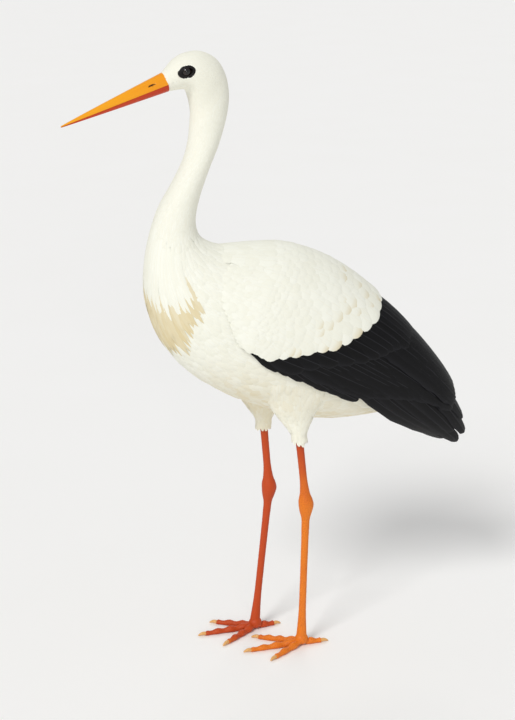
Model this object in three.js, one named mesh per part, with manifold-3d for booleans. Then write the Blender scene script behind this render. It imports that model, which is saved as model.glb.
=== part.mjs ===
// A white stork standing at rest, life size, as a still museum model.
// Units are millimetres, +Z up. The bird faces -X, so its left side is -Y. The origin is on the floor below it.

import * as THREE from 'three';
import { mergeVertices } from 'three/addons/utils/BufferGeometryUtils.js';
import Module from 'manifold-3d';

const wasm = await Module();
wasm.setup();

// ---------------------------------------------------------------- driving dimensions

const GAP = 0.3; // air kept between neighbouring pieces
const LEFT = -1;
const RIGHT = 1;

const HEAD = {
  billBase: [-203, 926], // x and z of the middle of the bill's root
  droop: THREE.MathUtils.degToRad(18), // how far the bill points below the horizon
  turn: THREE.MathUtils.degToRad(10), // how far the head is turned to the bird's left
  turnAxis: -132, // x of the upright line that the head turns about
};
const BILL = { length: 172, culmen: 17.3, keel: 11.6, halfWidth: 12.4, gape: -2.4, tip: 0.9 };
const NOSTRIL = { ahead: 24, above: 5.6, length: 12, height: 2, depth: 3 };
const EYE = { radius: 8.4, behind: 30.6, above: 7.1, aside: 15.8, forward: 0.2 };
const LID = { radius: 7.7, thickness: 1.7, stretch: 1.14 };
const GAPE_GROOVE = { length: 17, height: 0.9, aside: 11.2 };

// The trunk is a row of sections from the bill's root to the rump. Each section is an oval that stands on edge
// between a point of the back line and a point of the belly line, [x, z], and half is its half-width.
const BODY = withDistances([
  { at: 'bill root', back: [-207.6, 940.2], belly: [-198.7, 912.7], half: 12.5 },
  { at: 'lores', back: [-198.4, 949], belly: [-186.5, 914], half: 17 },
  { at: 'eyes', back: [-187.9, 958.8], belly: [-172.1, 914.1], half: 22 },
  { at: 'crown', back: [-171, 967], belly: [-164.5, 908], half: 25.5 },
  { at: 'hind crown', back: [-147, 969], belly: [-162, 898], half: 27.5 },
  { at: 'occiput', back: [-122, 958], belly: [-160.5, 887], half: 27.5 },
  { at: 'nape', back: [-106.5, 936], belly: [-160, 874], half: 25.5 },
  { at: 'neck top', back: [-100, 907], belly: [-162, 857], half: 25.5 },
  { at: 'upper neck', back: [-103, 877], belly: [-165, 834.5], half: 25 },
  { at: 'neck', back: [-115.5, 835.5], belly: [-173.5, 806.5], half: 25 },
  { at: 'mid neck', back: [-134, 792], belly: [-192, 772], half: 26.5 },
  { at: 'lower neck', back: [-149, 749.5], belly: [-213.5, 735.5], half: 29.5 },
  { at: 'neck root', back: [-155, 717], belly: [-226, 696], half: 34.5 },
  { at: 'shoulder', back: [-149, 694], belly: [-234, 651], half: 42 },
  { at: 'upper breast', back: [-131, 680], belly: [-235, 602], half: 53 },
  { at: 'breast', back: [-100, 672], belly: [-217, 540], half: 66 },
  { at: 'fore back', back: [-56, 667], belly: [-177, 484], half: 76 },
  { at: 'mid back', back: [-2, 656], belly: [-119, 441], half: 83 },
  { at: 'loins', back: [56, 630], belly: [-58, 411], half: 82 },
  { at: 'hips', back: [108, 592], belly: [4, 388], half: 74 },
  { at: 'vent', back: [154, 546], belly: [70, 377], half: 61 },
  { at: 'rump', back: [190, 500], belly: [132, 377], half: 45 },
  { at: 'tail root', back: [217, 460], belly: [180, 381], half: 32 },
]);

// The surface that both folded wings lie on, from the bend of the wing to the tips of the longest primaries.
// Behind the torso it stands clear of both sides of the tail.
const WING = withDistances([
  { at: 'bend', back: [-117, 676], belly: [-230, 575], half: 61 },
  { at: 'wrist', back: [-100, 674], belly: [-219, 539], half: 67.5 },
  { at: 'arm', back: [-55, 670], belly: [-180, 480], half: 78 },
  { at: 'elbow', back: [0, 661], belly: [-119, 440], half: 85 },
  { at: 'mid wing', back: [60, 636], belly: [-60, 410], half: 85 },
  { at: 'coverts', back: [114, 599], belly: [0, 387], half: 80 },
  { at: 'hind coverts', back: [162, 556], belly: [62, 369], half: 73 },
  { at: 'hand', back: [203, 511], belly: [121, 357], half: 65 },
  { at: 'fore primaries', back: [239, 467], belly: [174, 346], half: 56 },
  { at: 'primaries', back: [269, 425], belly: [219, 334], half: 47 },
  { at: 'hind primaries', back: [291, 389], belly: [250, 322], half: 37 },
  { at: 'near tip', back: [306, 360], belly: [273, 311], half: 27 },
  { at: 'tip', back: [316, 338], belly: [288, 302], half: 17 },
]);

const NECK_CUTS = { head: 92, upper: 172, middle: 262, lower: 352 }; // distances from the bill's root

// Edges of the folded wing as distances along it, each at an angle round the body.
const FRONT = [[-30, 178], [-12, 106], [-3, 84], [10, 54], [30, 34], [50, 34], [86, 58]];
const BAND = [ // where the white coverts end
  [-30, 190], [-20, 158], [-12, 156], [0, 204], [12, 244], [22, 264], [44, 296], [69, 302], [86, 304],
];
const WING_TOP = 86; // degrees: each wing stops just short of the back line
const WING_FOOT = -30;
const ARM_FOOT = WING_FOOT + (WING_TOP - WING_FOOT) / 7; // the white coverts end above the wing's lower edge
const ARM_LIFT = 7; // how far the arm of a folded wing stands out from the body
const FLIGHT_LIFT = 4.5;
const SINK = 3;
const BAND_GAP = 1.8; // measured along the wing, where the edge of the coverts runs across it at a slant
const FLESH = { behindBand: 12, hand: 68 }; // where the arm ends before that edge, and how long the hand is

// Tiers of a wing's feathers. Each is given by its first and its last feather: their roots and tips are places
// [distance, angle] on the wing, or on a tier that follows the edge of the coverts only distances behind that edge.
// lift is how far a feather lies from the body: its root, sunk in the flesh, then where it leaves the flesh, its tip.
const ARM_TIERS = {
  median: { count: 7, band: 1, foot: -4, root: [-62, -62], tip: [4, 4], width: 36, lift: [4, 9.2, 9.4] },
  lesser: {
    count: 5, band: 0.82, foot: 4, root: [-106, -106], tip: [-42, -42], width: 38, lift: [4, 9.6, 12.4],
  },
  scapulars: {
    count: 4, root: [[66, 70], [190, 70]], tip: [[150, 64], [296, 76]], width: 34, lift: [4, 12, 14],
  },
};
const FLIGHT_TIERS = {
  primaries: {
    count: 5, long: true, root: [[235, 4], [325, 46]], width: 27, lift: [0.4, 0.4, 0.3],
    tips: [[526, -50], [558, -32], [560, -4], [548, 24], [520, 50]],
  },
  secondaries: {
    count: 6, long: true, root: [[172, -12], [290, 22]], tip: [[352, -14], [500, 20]], width: 36,
    lift: [0.8, 3.6, 4.8],
  },
  tertials: {
    count: 4, long: true, root: [[270, 26], [312, 74]], tip: [[500, 32], [470, 72]], width: 42,
    lift: [0.8, 4.8, 8.8],
  },
  greater: { count: 7, band: 1, foot: -15, root: [-4, -4], tip: [64, 92], width: 38, lift: [1.2, 8, 9] },
};

// How wide a feather is along its length, as shares of its length and of its width.
const LONG_VANE = [[0, 0.25], [0.36, 0.9], [0.86, 0.84], [1, 0.32]];
const SHORT_VANE = [[0, 0.3], [0.45, 0.96], [0.84, 0.86], [1, 0.36]];
const VANE = { middle: 0.8, edge: 0.5, tilt: 0.12 };

const LEG = {
  left: { side: LEFT, hip: [-8, 446], knee: [1, 364], ankle: [14, 246], foot: [8, 12] },
  right: { side: RIGHT, hip: [-34, 446], knee: [-32, 366], ankle: [-22, 250], foot: [-46, 12] },
};
const STANCE = 40; // from the middle plane to each leg
const THIGH = { fore: 50, across: 23, end: 14, aside: 33 };
const TIBIA = 6.4;
const ANKLE = { fore: 12.5, across: 10.5, height: 36 };
const TARSUS = { fore: 6.3, across: 5.2 };
const TOE_ROOT = 6.2;
const TOES = {
  middle: { length: 88, spread: 0, joints: 4 },
  inner: { length: 68, spread: 32, joints: 3 },
  outer: { length: 74, spread: -34, joints: 4 },
  hind: { length: 34, spread: 176, joints: 2 },
};
const CLAW = { length: 13, radius: 3.4 };
const RUFF = {
  spread: 66, // degrees to each side of the middle of the breast
  width: 7.5, // degrees from the middle of a lock to its edge
  thickness: 1,
  shape: [[0, 0.3], [0.2, 1], [0.47, 0.88], [0.75, 0.6], [1, 0.12]], // width along a lock
  stagger: 1.5, // every other lock lies this much further out
  tiers: [
    { count: 11, root: 330, length: 118, lift: [2.6, 3.4] },
    { count: 10, root: 296, length: 96, lift: [3.8, 7.2] },
  ],
};
const TAIL = {
  root: [205, 422], tip: [288, 354.7], feathers: 6, start: 0.16, width: 26, thickness: 0.7,
  spread: 1, // degrees between one feather and the next
  top: 5, // the middle pair's height over the axis of the tail
  step: 1.1, // each feather lies this much lower
  flesh: [[0, 26, 34], [0.3, 26, 20], [0.57, 20, 7]], // share of the length, half-width and half-height
};

// ---------------------------------------------------------------- materials

const finish = (color, roughness) => new THREE.MeshStandardMaterial({ color, roughness, metalness: 0 });
const WHITE = finish('#f4f1e4', 0.85);
const BLACK = finish('#17171a', 0.55);
const BILL_UPPER = finish('#f2941c', 0.4);
const BILL_LOWER = finish('#cf4a1c', 0.4);
const LEG_SKIN = finish('#e8701c', 0.6);
const HORN = finish('#7a3a22', 0.5);
const EYE_DARK = finish('#0d0a08', 0.1);

// ---------------------------------------------------------------- solids

// Gives each section its distance along the middle line, so that a place on the body is a length and an angle.
function withDistances(sections) {
  let distance = 0;
  sections.forEach((section, i) => {
    section.middle = section.back.map((v, k) => (v + section.belly[k]) / 2);
    if (i > 0) {
      const last = sections[i - 1].middle;
      distance += Math.hypot(section.middle[0] - last[0], section.middle[1] - last[1]);
    }
    section.distance = distance;
  });
  return sections;
}

// A smooth value between sections: read gives a number from a section.
function between(sections, distance, read) {
  const last = sections.length - 1;
  let i = sections.findIndex((section) => section.distance > distance) - 1;
  if (i < 0) i = distance < sections[0].distance ? 0 : last - 1;
  const at = (k) => sections[Math.min(last, Math.max(0, k))];
  const slope = (k) => {
    const [before, after] = [at(k - 1), at(k + 1)];
    return (read(after) - read(before)) / (after.distance - before.distance);
  };
  const span = at(i + 1).distance - at(i).distance;
  const t = (distance - at(i).distance) / span;
  const [t2, t3] = [t * t, t * t * t];
  return (2 * t3 - 3 * t2 + 1) * read(at(i)) + (t3 - 2 * t2 + t) * span * slope(i)
    + (3 * t2 - 2 * t3) * read(at(i + 1)) + (t3 - t2) * span * slope(i + 1);
}

// The point of a body surface at a distance along it and an angle round it: 0 at the side, 90 on the back line,
// -90 on the belly line. lift moves it outwards, and side is LEFT or RIGHT.
function surface(sections, distance, degrees, lift, side) {
  const back = [0, 1].map((k) => between(sections, distance, (section) => section.back[k]));
  const belly = [0, 1].map((k) => between(sections, distance, (section) => section.belly[k]));
  const half = between(sections, distance, (section) => section.half);
  const height = Math.hypot(back[0] - belly[0], back[1] - belly[1]);
  const up = [(back[0] - belly[0]) / height, (back[1] - belly[1]) / height];
  const angle = THREE.MathUtils.degToRad(degrees);
  const rise = (height / 2 + lift) * Math.sin(angle);
  return new THREE.Vector3(
    (back[0] + belly[0]) / 2 + up[0] * rise,
    side * (half + lift) * Math.cos(angle),
    (back[1] + belly[1]) / 2 + up[1] * rise,
  );
}

// The head's turn fades out down the neck.
function turned(point, distance) {
  const share = 1 - THREE.MathUtils.smoothstep(distance, NECK_CUTS.head, NECK_CUTS.lower);
  const axis = new THREE.Vector3(HEAD.turnAxis, 0, 0);
  return point.sub(axis).applyAxisAngle(new THREE.Vector3(0, 0, 1), HEAD.turn * share).add(axis);
}

function solidFrom(points, triangles) {
  const vertProperties = new Float32Array(points.flatMap((p) => [p.x, p.y, p.z]));
  const triVerts = new Uint32Array(triangles);
  return new wasm.Manifold(new wasm.Mesh({ numProp: 3, vertProperties, triVerts }));
}

// A three.js geometry as a solid, placed by a matrix.
function solidOf(geometry, matrix = new THREE.Matrix4()) {
  const plain = geometry.clone();
  plain.deleteAttribute('normal');
  plain.deleteAttribute('uv');
  const merged = mergeVertices(plain.applyMatrix4(matrix), 1e-4);
  return new wasm.Manifold(new wasm.Mesh({
    numProp: 3,
    vertProperties: merged.attributes.position.array,
    triVerts: new Uint32Array(merged.index.array),
  }));
}

// A closed solid through rings of equally many points, closed by a fan at each end.
function loft(rings) {
  const count = rings[0].length;
  const points = rings.flat();
  const triangles = [];
  for (let i = 0; i + 1 < rings.length; i += 1) {
    for (let j = 0; j < count; j += 1) {
      const [a, b] = [i * count + j, i * count + ((j + 1) % count)];
      triangles.push(a, b, b + count, a, b + count, a + count);
    }
  }
  const middle = (ring) => ring.reduce((sum, p) => sum.add(p), new THREE.Vector3()).divideScalar(count);
  const first = points.push(middle(rings[0])) - 1;
  const last = points.push(middle(rings.at(-1))) - 1;
  const end = (rings.length - 1) * count;
  for (let j = 0; j < count; j += 1) {
    const next = (j + 1) % count;
    triangles.push(first, next, j, last, end + j, end + next);
  }
  return facingOut(points, triangles);
}

// A thin closed solid between two grids of points, split into triangles alike on both faces.
function sheet(outer, inner) {
  const [rows, columns] = [outer.length, outer[0].length];
  const points = [...outer.flat(), ...inner.flat()];
  const below = rows * columns;
  const triangles = [];
  for (let i = 0; i + 1 < rows; i += 1) {
    for (let j = 0; j + 1 < columns; j += 1) {
      const [a, b] = [i * columns + j, i * columns + j + 1];
      const [c, d] = [b + columns, a + columns];
      triangles.push(a, b, c, a, c, d);
      triangles.push(below + a, below + c, below + b, below + a, below + d, below + c);
    }
  }
  const rim = [];
  for (let j = 0; j < columns - 1; j += 1) rim.push(j);
  for (let i = 0; i < rows - 1; i += 1) rim.push(i * columns + columns - 1);
  for (let j = columns - 1; j > 0; j -= 1) rim.push((rows - 1) * columns + j);
  for (let i = rows - 1; i > 0; i -= 1) rim.push(i * columns);
  rim.forEach((a, k) => {
    const b = rim[(k + 1) % rim.length];
    triangles.push(b, a, below + a, b, below + a, below + b);
  });
  return facingOut(points, triangles);
}

// Turns every triangle round if the surface faces inwards.
function facingOut(points, triangles) {
  let volume = 0;
  for (let k = 0; k < triangles.length; k += 3) {
    const [a, b, c] = [points[triangles[k]], points[triangles[k + 1]], points[triangles[k + 2]]];
    volume += a.dot(b.clone().cross(c));
  }
  if (volume < 0) {
    for (let k = 0; k < triangles.length; k += 3) {
      [triangles[k + 1], triangles[k + 2]] = [triangles[k + 2], triangles[k + 1]];
    }
  }
  return solidFrom(points, triangles);
}

const largest = (solid) => solid.decompose().reduce((a, b) => (a.volume() >= b.volume() ? a : b));

function meshOf(name, solid, material) {
  const { vertProperties, triVerts, numProp } = largest(solid).getMesh();
  if (numProp !== 3) throw new Error(`${name} carries more than positions`);
  const geometry = new THREE.BufferGeometry();
  geometry.setAttribute('position', new THREE.BufferAttribute(vertProperties, 3));
  geometry.setIndex(new THREE.BufferAttribute(triVerts, 1));
  geometry.computeVertexNormals();
  const mesh = new THREE.Mesh(geometry, material);
  mesh.name = name;
  return mesh;
}

const mix = THREE.MathUtils.lerp;
const along = (from, to, t) => [mix(from[0], to[0], t), mix(from[1], to[1], t)];

// Repeatable draws from 0 to 1, which make like feathers differ a little.
let seed = 20;
function draw() {
  seed = (seed * 16807) % 2147483647;
  return (seed - 1) / 2147483646;
}

const steps = (from, to, count) => Array.from({ length: count + 1 }, (_, i) => mix(from, to, i / count));

// ---------------------------------------------------------------- head, neck and torso

const rump = BODY.at(-1).distance;

// The lengths that the trunk is divided into: where each starts and ends, and how finely it is faceted.
const LENGTHS = {
  head: { from: 0, to: NECK_CUTS.head - GAP, rings: 13, corners: 22 },
  neck_upper: { from: NECK_CUTS.head, to: NECK_CUTS.upper - GAP, rings: 6, corners: 20 },
  neck_middle: { from: NECK_CUTS.upper, to: NECK_CUTS.middle - GAP, rings: 6, corners: 20 },
  neck_lower: { from: NECK_CUTS.middle, to: NECK_CUTS.lower - GAP, rings: 6, corners: 24 },
  torso: { from: NECK_CUTS.lower, to: rump, rings: 16, corners: 24 },
};

const ringAt = (distance, corners, lift) => steps(0, 360, corners).slice(0, -1).map(
  (angle) => turned(surface(BODY, distance, angle, lift, RIGHT), distance),
);

// The rings of a length of the trunk, with lift on its outside.
const ringsOf = ({ from, to, rings, corners }, lift = 0) => (
  steps(from, to, rings).map((distance) => ringAt(distance, corners, lift))
);

const trunk = (length) => loft(ringsOf(length));

// One long pointed feather of the lower neck: a flat tapered lock that leaves the skin at its root and then lies
// clear of the breast. aside is its angle from the middle of the breast.
function lock({ root, length, lift }, aside, raised) {
  const reach = length * (1 - 0.3 * Math.abs(aside / RUFF.spread)) * mix(0.9, 1.1, draw());
  const drift = mix(-3, 3, draw());
  const face = (direction) => RUFF.shape.map(([t, width]) => [-1, 1].map((edge) => {
    const distance = root + reach * t;
    const degrees = -90 + aside * (1 - 0.25 * t) + drift * t + edge * width * RUFF.width;
    const height = t === 0 ? -4 : mix(lift[0], lift[1], t) + raised;
    return turned(surface(BODY, distance, degrees, height + (direction * RUFF.thickness) / 2, RIGHT), distance);
  }));
  return sheet(face(1), face(-1));
}

const ruff = () => RUFF.tiers.flatMap((each) => steps(-RUFF.spread, RUFF.spread, each.count - 1).map(
  (aside, i) => lock(each, aside, RUFF.stagger * (i % 2)),
));

// The room that the lower neck and the torso take, with the gap round them.
const torsoSpace = loft([
  ...ringsOf(LENGTHS.neck_lower, GAP),
  ...ringsOf(LENGTHS.torso, GAP),
  ringAt(rump + GAP, LENGTHS.torso.corners, GAP),
]);

// A matrix that carries a piece from the head's own frame, whose -X runs along the bill, to the bird's frame.
function headFrame() {
  const turn = new THREE.Matrix4().makeTranslation(HEAD.turnAxis, 0, 0)
    .multiply(new THREE.Matrix4().makeRotationZ(HEAD.turn));
  const place = new THREE.Matrix4().makeTranslation(HEAD.billBase[0] - HEAD.turnAxis, 0, HEAD.billBase[1])
    .multiply(new THREE.Matrix4().makeRotationY(-HEAD.droop));
  return turn.multiply(place);
}

const eyePlace = (side) => new THREE.Vector3(EYE.behind, side * EYE.aside, EYE.above);

// The lids are one raised ring round the opening, longer than it is high.
function lids(side) {
  const ring = new THREE.TorusGeometry(LID.radius, LID.thickness, 6, 16);
  const outwards = new THREE.Matrix4().makeRotationX(Math.PI / 2);
  const place = new THREE.Matrix4()
    .makeTranslation(EYE.behind, side * (EYE.aside + 5.4), EYE.above)
    .multiply(new THREE.Matrix4().makeRotationZ(side * EYE.forward))
    .multiply(new THREE.Matrix4().makeScale(LID.stretch, 1, 1))
    .multiply(outwards);
  return solidOf(ring, headFrame().multiply(place));
}

function head() {
  let solid = trunk(LENGTHS.head);
  [LEFT, RIGHT].forEach((side) => {
    solid = solid.add(lids(side));
    const socket = new THREE.SphereGeometry(EYE.radius + GAP, 14, 8);
    const place = eyePlace(side);
    solid = solid.subtract(solidOf(socket, headFrame().multiply(new THREE.Matrix4().makeTranslation(place))));
    const groove = new THREE.BoxGeometry(GAPE_GROOVE.length, 14, GAPE_GROOVE.height);
    const groovePlace = new THREE.Matrix4()
      .makeTranslation(GAPE_GROOVE.length / 2 - 1, side * (GAPE_GROOVE.aside + 7), BILL.gape)
      .multiply(new THREE.Matrix4().makeRotationZ(side * -0.3));
    solid = solid.subtract(solidOf(groove, headFrame().multiply(groovePlace)));
  });
  return solid;
}

// ---------------------------------------------------------------- bill

// Half of the bill: direction is 1 for the upper mandible and -1 for the lower. Its edge lies on the gape line.
function mandible(direction, depth) {
  const corners = 12;
  const shares = [0, 0.06, 0.16, 0.3, 0.45, 0.6, 0.75, 0.87, 0.95, 1];
  return loft(shares.map((share) => {
    const narrowing = Math.pow(1 - share, 0.9);
    const width = BILL.tip + (BILL.halfWidth - BILL.tip) * narrowing;
    const height = BILL.tip + (depth - BILL.tip) * narrowing;
    const edge = BILL.gape * (1 - share) + direction * GAP / 2;
    return steps(0, Math.PI, corners).map((angle) => new THREE.Vector3(
      -GAP - BILL.length * share,
      width * Math.cos(angle),
      edge + direction * height * Math.sin(angle),
    ));
  }));
}

function upperMandible() {
  let solid = mandible(1, BILL.culmen);
  [LEFT, RIGHT].forEach((side) => {
    const share = NOSTRIL.ahead / BILL.length;
    const aside = BILL.halfWidth * (1 - share) * 0.86;
    const slit = new THREE.SphereGeometry(0.5, 8, 6);
    const place = new THREE.Matrix4().makeTranslation(-NOSTRIL.ahead, side * aside, NOSTRIL.above)
      .multiply(new THREE.Matrix4().makeScale(NOSTRIL.length, NOSTRIL.depth, NOSTRIL.height));
    solid = solid.subtract(solidOf(slit, place));
  });
  return solid;
}

// ---------------------------------------------------------------- wings

function edgeAt(edge, degrees) {
  const above = edge.findIndex(([angle]) => angle >= degrees);
  const next = above === -1 ? edge.length - 1 : Math.max(1, above);
  const [[a0, d0], [a1, d1]] = [edge[next - 1], edge[next]];
  return d0 + ((d1 - d0) * (degrees - a0)) / (a1 - a0);
}

// The fleshy part of a folded wing between two edges. It is thick in its middle, thin at its rim, and its inner
// face is sunk into the body, to be cut back to the body's own surface.
function wingFlesh(side, foot, from, to, lift, rows, columns) {
  const angles = steps(foot, WING_TOP, columns);
  const grid = (liftAt) => steps(0, 1, rows).map((t, i) => angles.map((angle, j) => (
    surface(WING, mix(from(angle), to(angle), t), angle, liftAt(i, j), side)
  )));
  const onRim = (i, j) => j === 0 || j === columns || i === 0;
  return sheet(grid((i, j) => (onRim(i, j) ? 1 : lift)), grid(() => -SINK));
}

// One feather laid on a wing from its root to its tip, both places [distance, angle]. It takes its camber from the
// body under it, and is tilted so that its lower edge lies over the next feather down.
function vane(side, root, tip, { width, lift, long }) {
  const rows = (long ? LONG_VANE : SHORT_VANE).map(([t, share]) => {
    const [distance, angle] = along(root, tip, t);
    const here = surface(WING, distance, angle, 0, side);
    const degree = here.distanceTo(surface(WING, distance, angle + 1, 0, side));
    const half = (width / 2) * share;
    return [-1, 0, 1].map((edge) => ({
      distance,
      angle: Math.min(WING_TOP + 1, angle + (edge * half) / degree),
      height: (t === 0 ? lift[0] : mix(lift[1], lift[2], t)) - edge * half * VANE.tilt,
      thickness: edge === 0 ? VANE.middle : VANE.edge,
    }));
  });
  const face = (direction) => rows.map((row) => row.map((p) => (
    surface(WING, p.distance, p.angle, p.height + (direction * p.thickness) / 2, side)
  )));
  return sheet(face(1), face(-1));
}

// Places along the edge of the white coverts, from the front of the wing to the back line.
function bandPlace(foot, share, behind) {
  const angle = mix(foot, WING_TOP - 5, share);
  return [edgeAt(BAND, angle) + behind, angle];
}

// A tier's feathers, from its first to its last.
function tier(side, each) {
  const { count, band, foot, root, tip, tips } = each;
  const place = ([first, last], share) => (
    band ? bandPlace(foot, share * band, mix(first, last, share)) : along(first, last, share)
  );
  return steps(0, 1, count - 1).map((share, i) => (
    vane(side, place(root, share), tips ? tips[i] : place(tip, share), each)
  ));
}

const tiersOf = (side, tiers) => Object.values(tiers).flatMap((each) => tier(side, each));

// The arm with its white coverts and scapulars.
function arm(side) {
  const end = (angle) => edgeAt(BAND, angle) - FLESH.behindBand - BAND_GAP;
  const flesh = wingFlesh(side, ARM_FOOT, (angle) => edgeAt(FRONT, angle), end, ARM_LIFT, 6, 6);
  return wasm.Manifold.union([flesh, ...tiersOf(side, ARM_TIERS)]);
}

// The hand and forearm with the black flight feathers and greater coverts.
function flightFeathers(side) {
  const start = (angle) => edgeAt(BAND, angle) - FLESH.behindBand;
  const flesh = wingFlesh(side, WING_FOOT, start, (angle) => start(angle) + FLESH.hand, FLIGHT_LIFT, 2, 7);
  return wasm.Manifold.union([flesh, ...tiersOf(side, FLIGHT_TIERS)]);
}

// ---------------------------------------------------------------- tail

// A short root of flesh, from which the tail feathers fan out. The middle pair lies on top.
function tail() {
  const root = new THREE.Vector3(TAIL.root[0], 0, TAIL.root[1]);
  const axis = new THREE.Vector3(TAIL.tip[0], 0, TAIL.tip[1]).sub(root);
  const length = axis.length();
  axis.normalize();
  const up = new THREE.Vector3(-axis.z, 0, axis.x);
  const across = new THREE.Vector3(0, 1, 0);
  const flesh = loft(TAIL.flesh.map(([share, half, high]) => {
    const middle = root.clone().addScaledVector(axis, length * share);
    return steps(0, 360, 16).slice(0, -1).map((angle) => {
      const a = THREE.MathUtils.degToRad(angle);
      return middle.clone().addScaledVector(up, high * Math.sin(a)).addScaledVector(across, half * Math.cos(a));
    });
  }));
  const feathers = [LEFT, RIGHT].flatMap((side) => steps(0, 1, TAIL.feathers - 1).map((share, i) => {
    const heading = axis.clone().applyAxisAngle(up, THREE.MathUtils.degToRad(side * TAIL.spread * (i + 0.45)));
    const sideways = up.clone().cross(heading);
    const level = TAIL.top - (2 * i + (side === RIGHT ? 1 : 0)) * TAIL.step;
    const start = root.clone().addScaledVector(up, level).addScaledVector(across, side * mix(3, 9, share));
    const face = (direction) => SHORT_VANE.map(([t, width]) => [-1, 1].map((edge) => start.clone()
      .addScaledVector(heading, length * mix(TAIL.start, 1 - 0.06 * share, t))
      .addScaledVector(sideways, (edge * width * TAIL.width) / 2)
      .addScaledVector(up, (direction * TAIL.thickness) / 2)));
    return sheet(face(1), face(-1));
  }));
  return wasm.Manifold.union([flesh, ...feathers]);
}

// ---------------------------------------------------------------- legs

// An upright limb through oval sections: each has its place [x, z], its half-lengths fore and across, and its y.
function limb(sections, corners = 12) {
  return loft(sections.map(([x, z, fore, across, y]) => steps(0, 360, corners).slice(0, -1).map((angle) => {
    const a = THREE.MathUtils.degToRad(angle);
    return new THREE.Vector3(x + fore * Math.cos(a), y + across * Math.sin(a), z);
  })));
}

function thigh({ side, hip, knee }) {
  const shape = [[0, 1], [0.25, 0.92], [0.5, 0.72], [0.75, 0.46], [0.92, 0.3], [1, 0.2]];
  const sections = shape.map(([t, size]) => [
    ...along(hip, knee, t),
    Math.max(THIGH.fore * size, THIGH.end),
    Math.max(THIGH.across * size, THIGH.end * 0.85),
    side * mix(THIGH.aside, STANCE, t),
  ]);
  return limb(sections, 16).subtract(torsoSpace);
}

function tibia({ side, knee, ankle }) {
  const top = along(knee, ankle, 0);
  top[1] -= GAP;
  const end = [ankle[0], ankle[1] + ANKLE.height / 2 + GAP];
  return limb([[0, 1], [0.5, 0.95], [0.85, 1.05], [1, 1.3]].map(([t, size]) => [
    ...along(top, end, t), TIBIA * size, TIBIA * size * 0.9, side * STANCE,
  ]));
}

function tarsus({ side, ankle, foot }) {
  const top = [ankle[0], ankle[1] + ANKLE.height / 2];
  const knuckle = [[0, 0.72], [0.25, 0.94], [0.5, 1], [0.78, 0.86], [1, 0.6]].map(([t, size]) => [
    ankle[0], top[1] - ANKLE.height * t, ANKLE.fore * size, ANKLE.across * size, side * STANCE,
  ]);
  const shaft = [[0.14, 1.06], [0.35, 0.96], [0.6, 0.94], [0.85, 1.05], [0.96, 1.3]].map(([t, size]) => [
    ...along(ankle, [foot[0], foot[1] + 9], t), TARSUS.fore * size, TARSUS.across * size, side * STANCE,
  ]);
  const end = [foot[0], foot[1] + 9 + GAP, TARSUS.fore * 1.45, TARSUS.across * 1.5, side * STANCE];
  return limb([...knuckle, ...shaft, end], 10);
}

// A toe lies on the floor: its pads bulge at the joints and are flat below.
function toe({ length, spread, joints }, origin, side) {
  const heading = new THREE.Vector3(-1, 0, 0).applyAxisAngle(
    new THREE.Vector3(0, 0, 1), THREE.MathUtils.degToRad(spread) * side * -1,
  );
  const across = new THREE.Vector3(-heading.y, heading.x, 0);
  const count = joints * 2;
  return loft(steps(0, 1, count).map((t) => {
    const pad = 1 + 0.13 * Math.cos(2 * Math.PI * t * joints);
    const radius = TOE_ROOT * mix(1, 0.62, t) * pad * (t === 1 ? 0.7 : 1);
    const height = mix(radius * 0.9 + 5, radius * 0.82, Math.min(1, t * 4));
    return steps(0, 360, 7).slice(0, -1).map((angle) => {
      const a = THREE.MathUtils.degToRad(angle);
      return origin.clone().addScaledVector(heading, length * t).addScaledVector(across, radius * Math.cos(a))
        .add(new THREE.Vector3(0, 0, height + radius * Math.sin(a)));
    });
  }));
}

const floorTrim = (solid) => solid.trimByPlane([0, 0, 1], 0);

function foot({ side, foot: place }) {
  const origin = new THREE.Vector3(place[0], side * STANCE, 0);
  const hub = new THREE.SphereGeometry(1, 12, 6);
  const hubPlace = new THREE.Matrix4().makeTranslation(place[0], side * STANCE, place[1] - 1)
    .multiply(new THREE.Matrix4().makeScale(11, 10, 11));
  let solid = solidOf(hub, hubPlace);
  Object.values(TOES).forEach((each) => {
    solid = solid.add(toe(each, origin, side));
  });
  return floorTrim(solid).trimByPlane([0, 0, -1], -(place[1] + 9));
}

function claw({ length, spread }, { side, foot: place }) {
  const heading = new THREE.Vector3(-1, 0, 0).applyAxisAngle(
    new THREE.Vector3(0, 0, 1), THREE.MathUtils.degToRad(spread) * side * -1,
  );
  const across = new THREE.Vector3(-heading.y, heading.x, 0);
  const origin = new THREE.Vector3(place[0], side * STANCE, 0);
  return loft([[0, 1, 0.9], [0.35, 0.92, 0.92], [0.7, 0.62, 0.7], [1, 0.2, 0.3]].map(([t, size, height]) => {
    const radius = CLAW.radius * size;
    return steps(0, 360, 6).slice(0, -1).map((angle) => {
      const a = THREE.MathUtils.degToRad(angle);
      return origin.clone().addScaledVector(heading, length + GAP + CLAW.length * t)
        .addScaledVector(across, radius * 0.85 * Math.cos(a))
        .add(new THREE.Vector3(0, 0, CLAW.radius * height + radius * Math.sin(a) + 0.3));
    });
  }));
}

// ---------------------------------------------------------------- the bird

const stork = new THREE.Group();
stork.add(
  meshOf('head', head(), WHITE),
  ...['neck_upper', 'neck_middle', 'torso'].map((name) => meshOf(name, trunk(LENGTHS[name]), WHITE)),
  meshOf('neck_lower', wasm.Manifold.union([trunk(LENGTHS.neck_lower), ...ruff()]), WHITE),
  meshOf('tail', tail().subtract(torsoSpace), WHITE),
);

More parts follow.
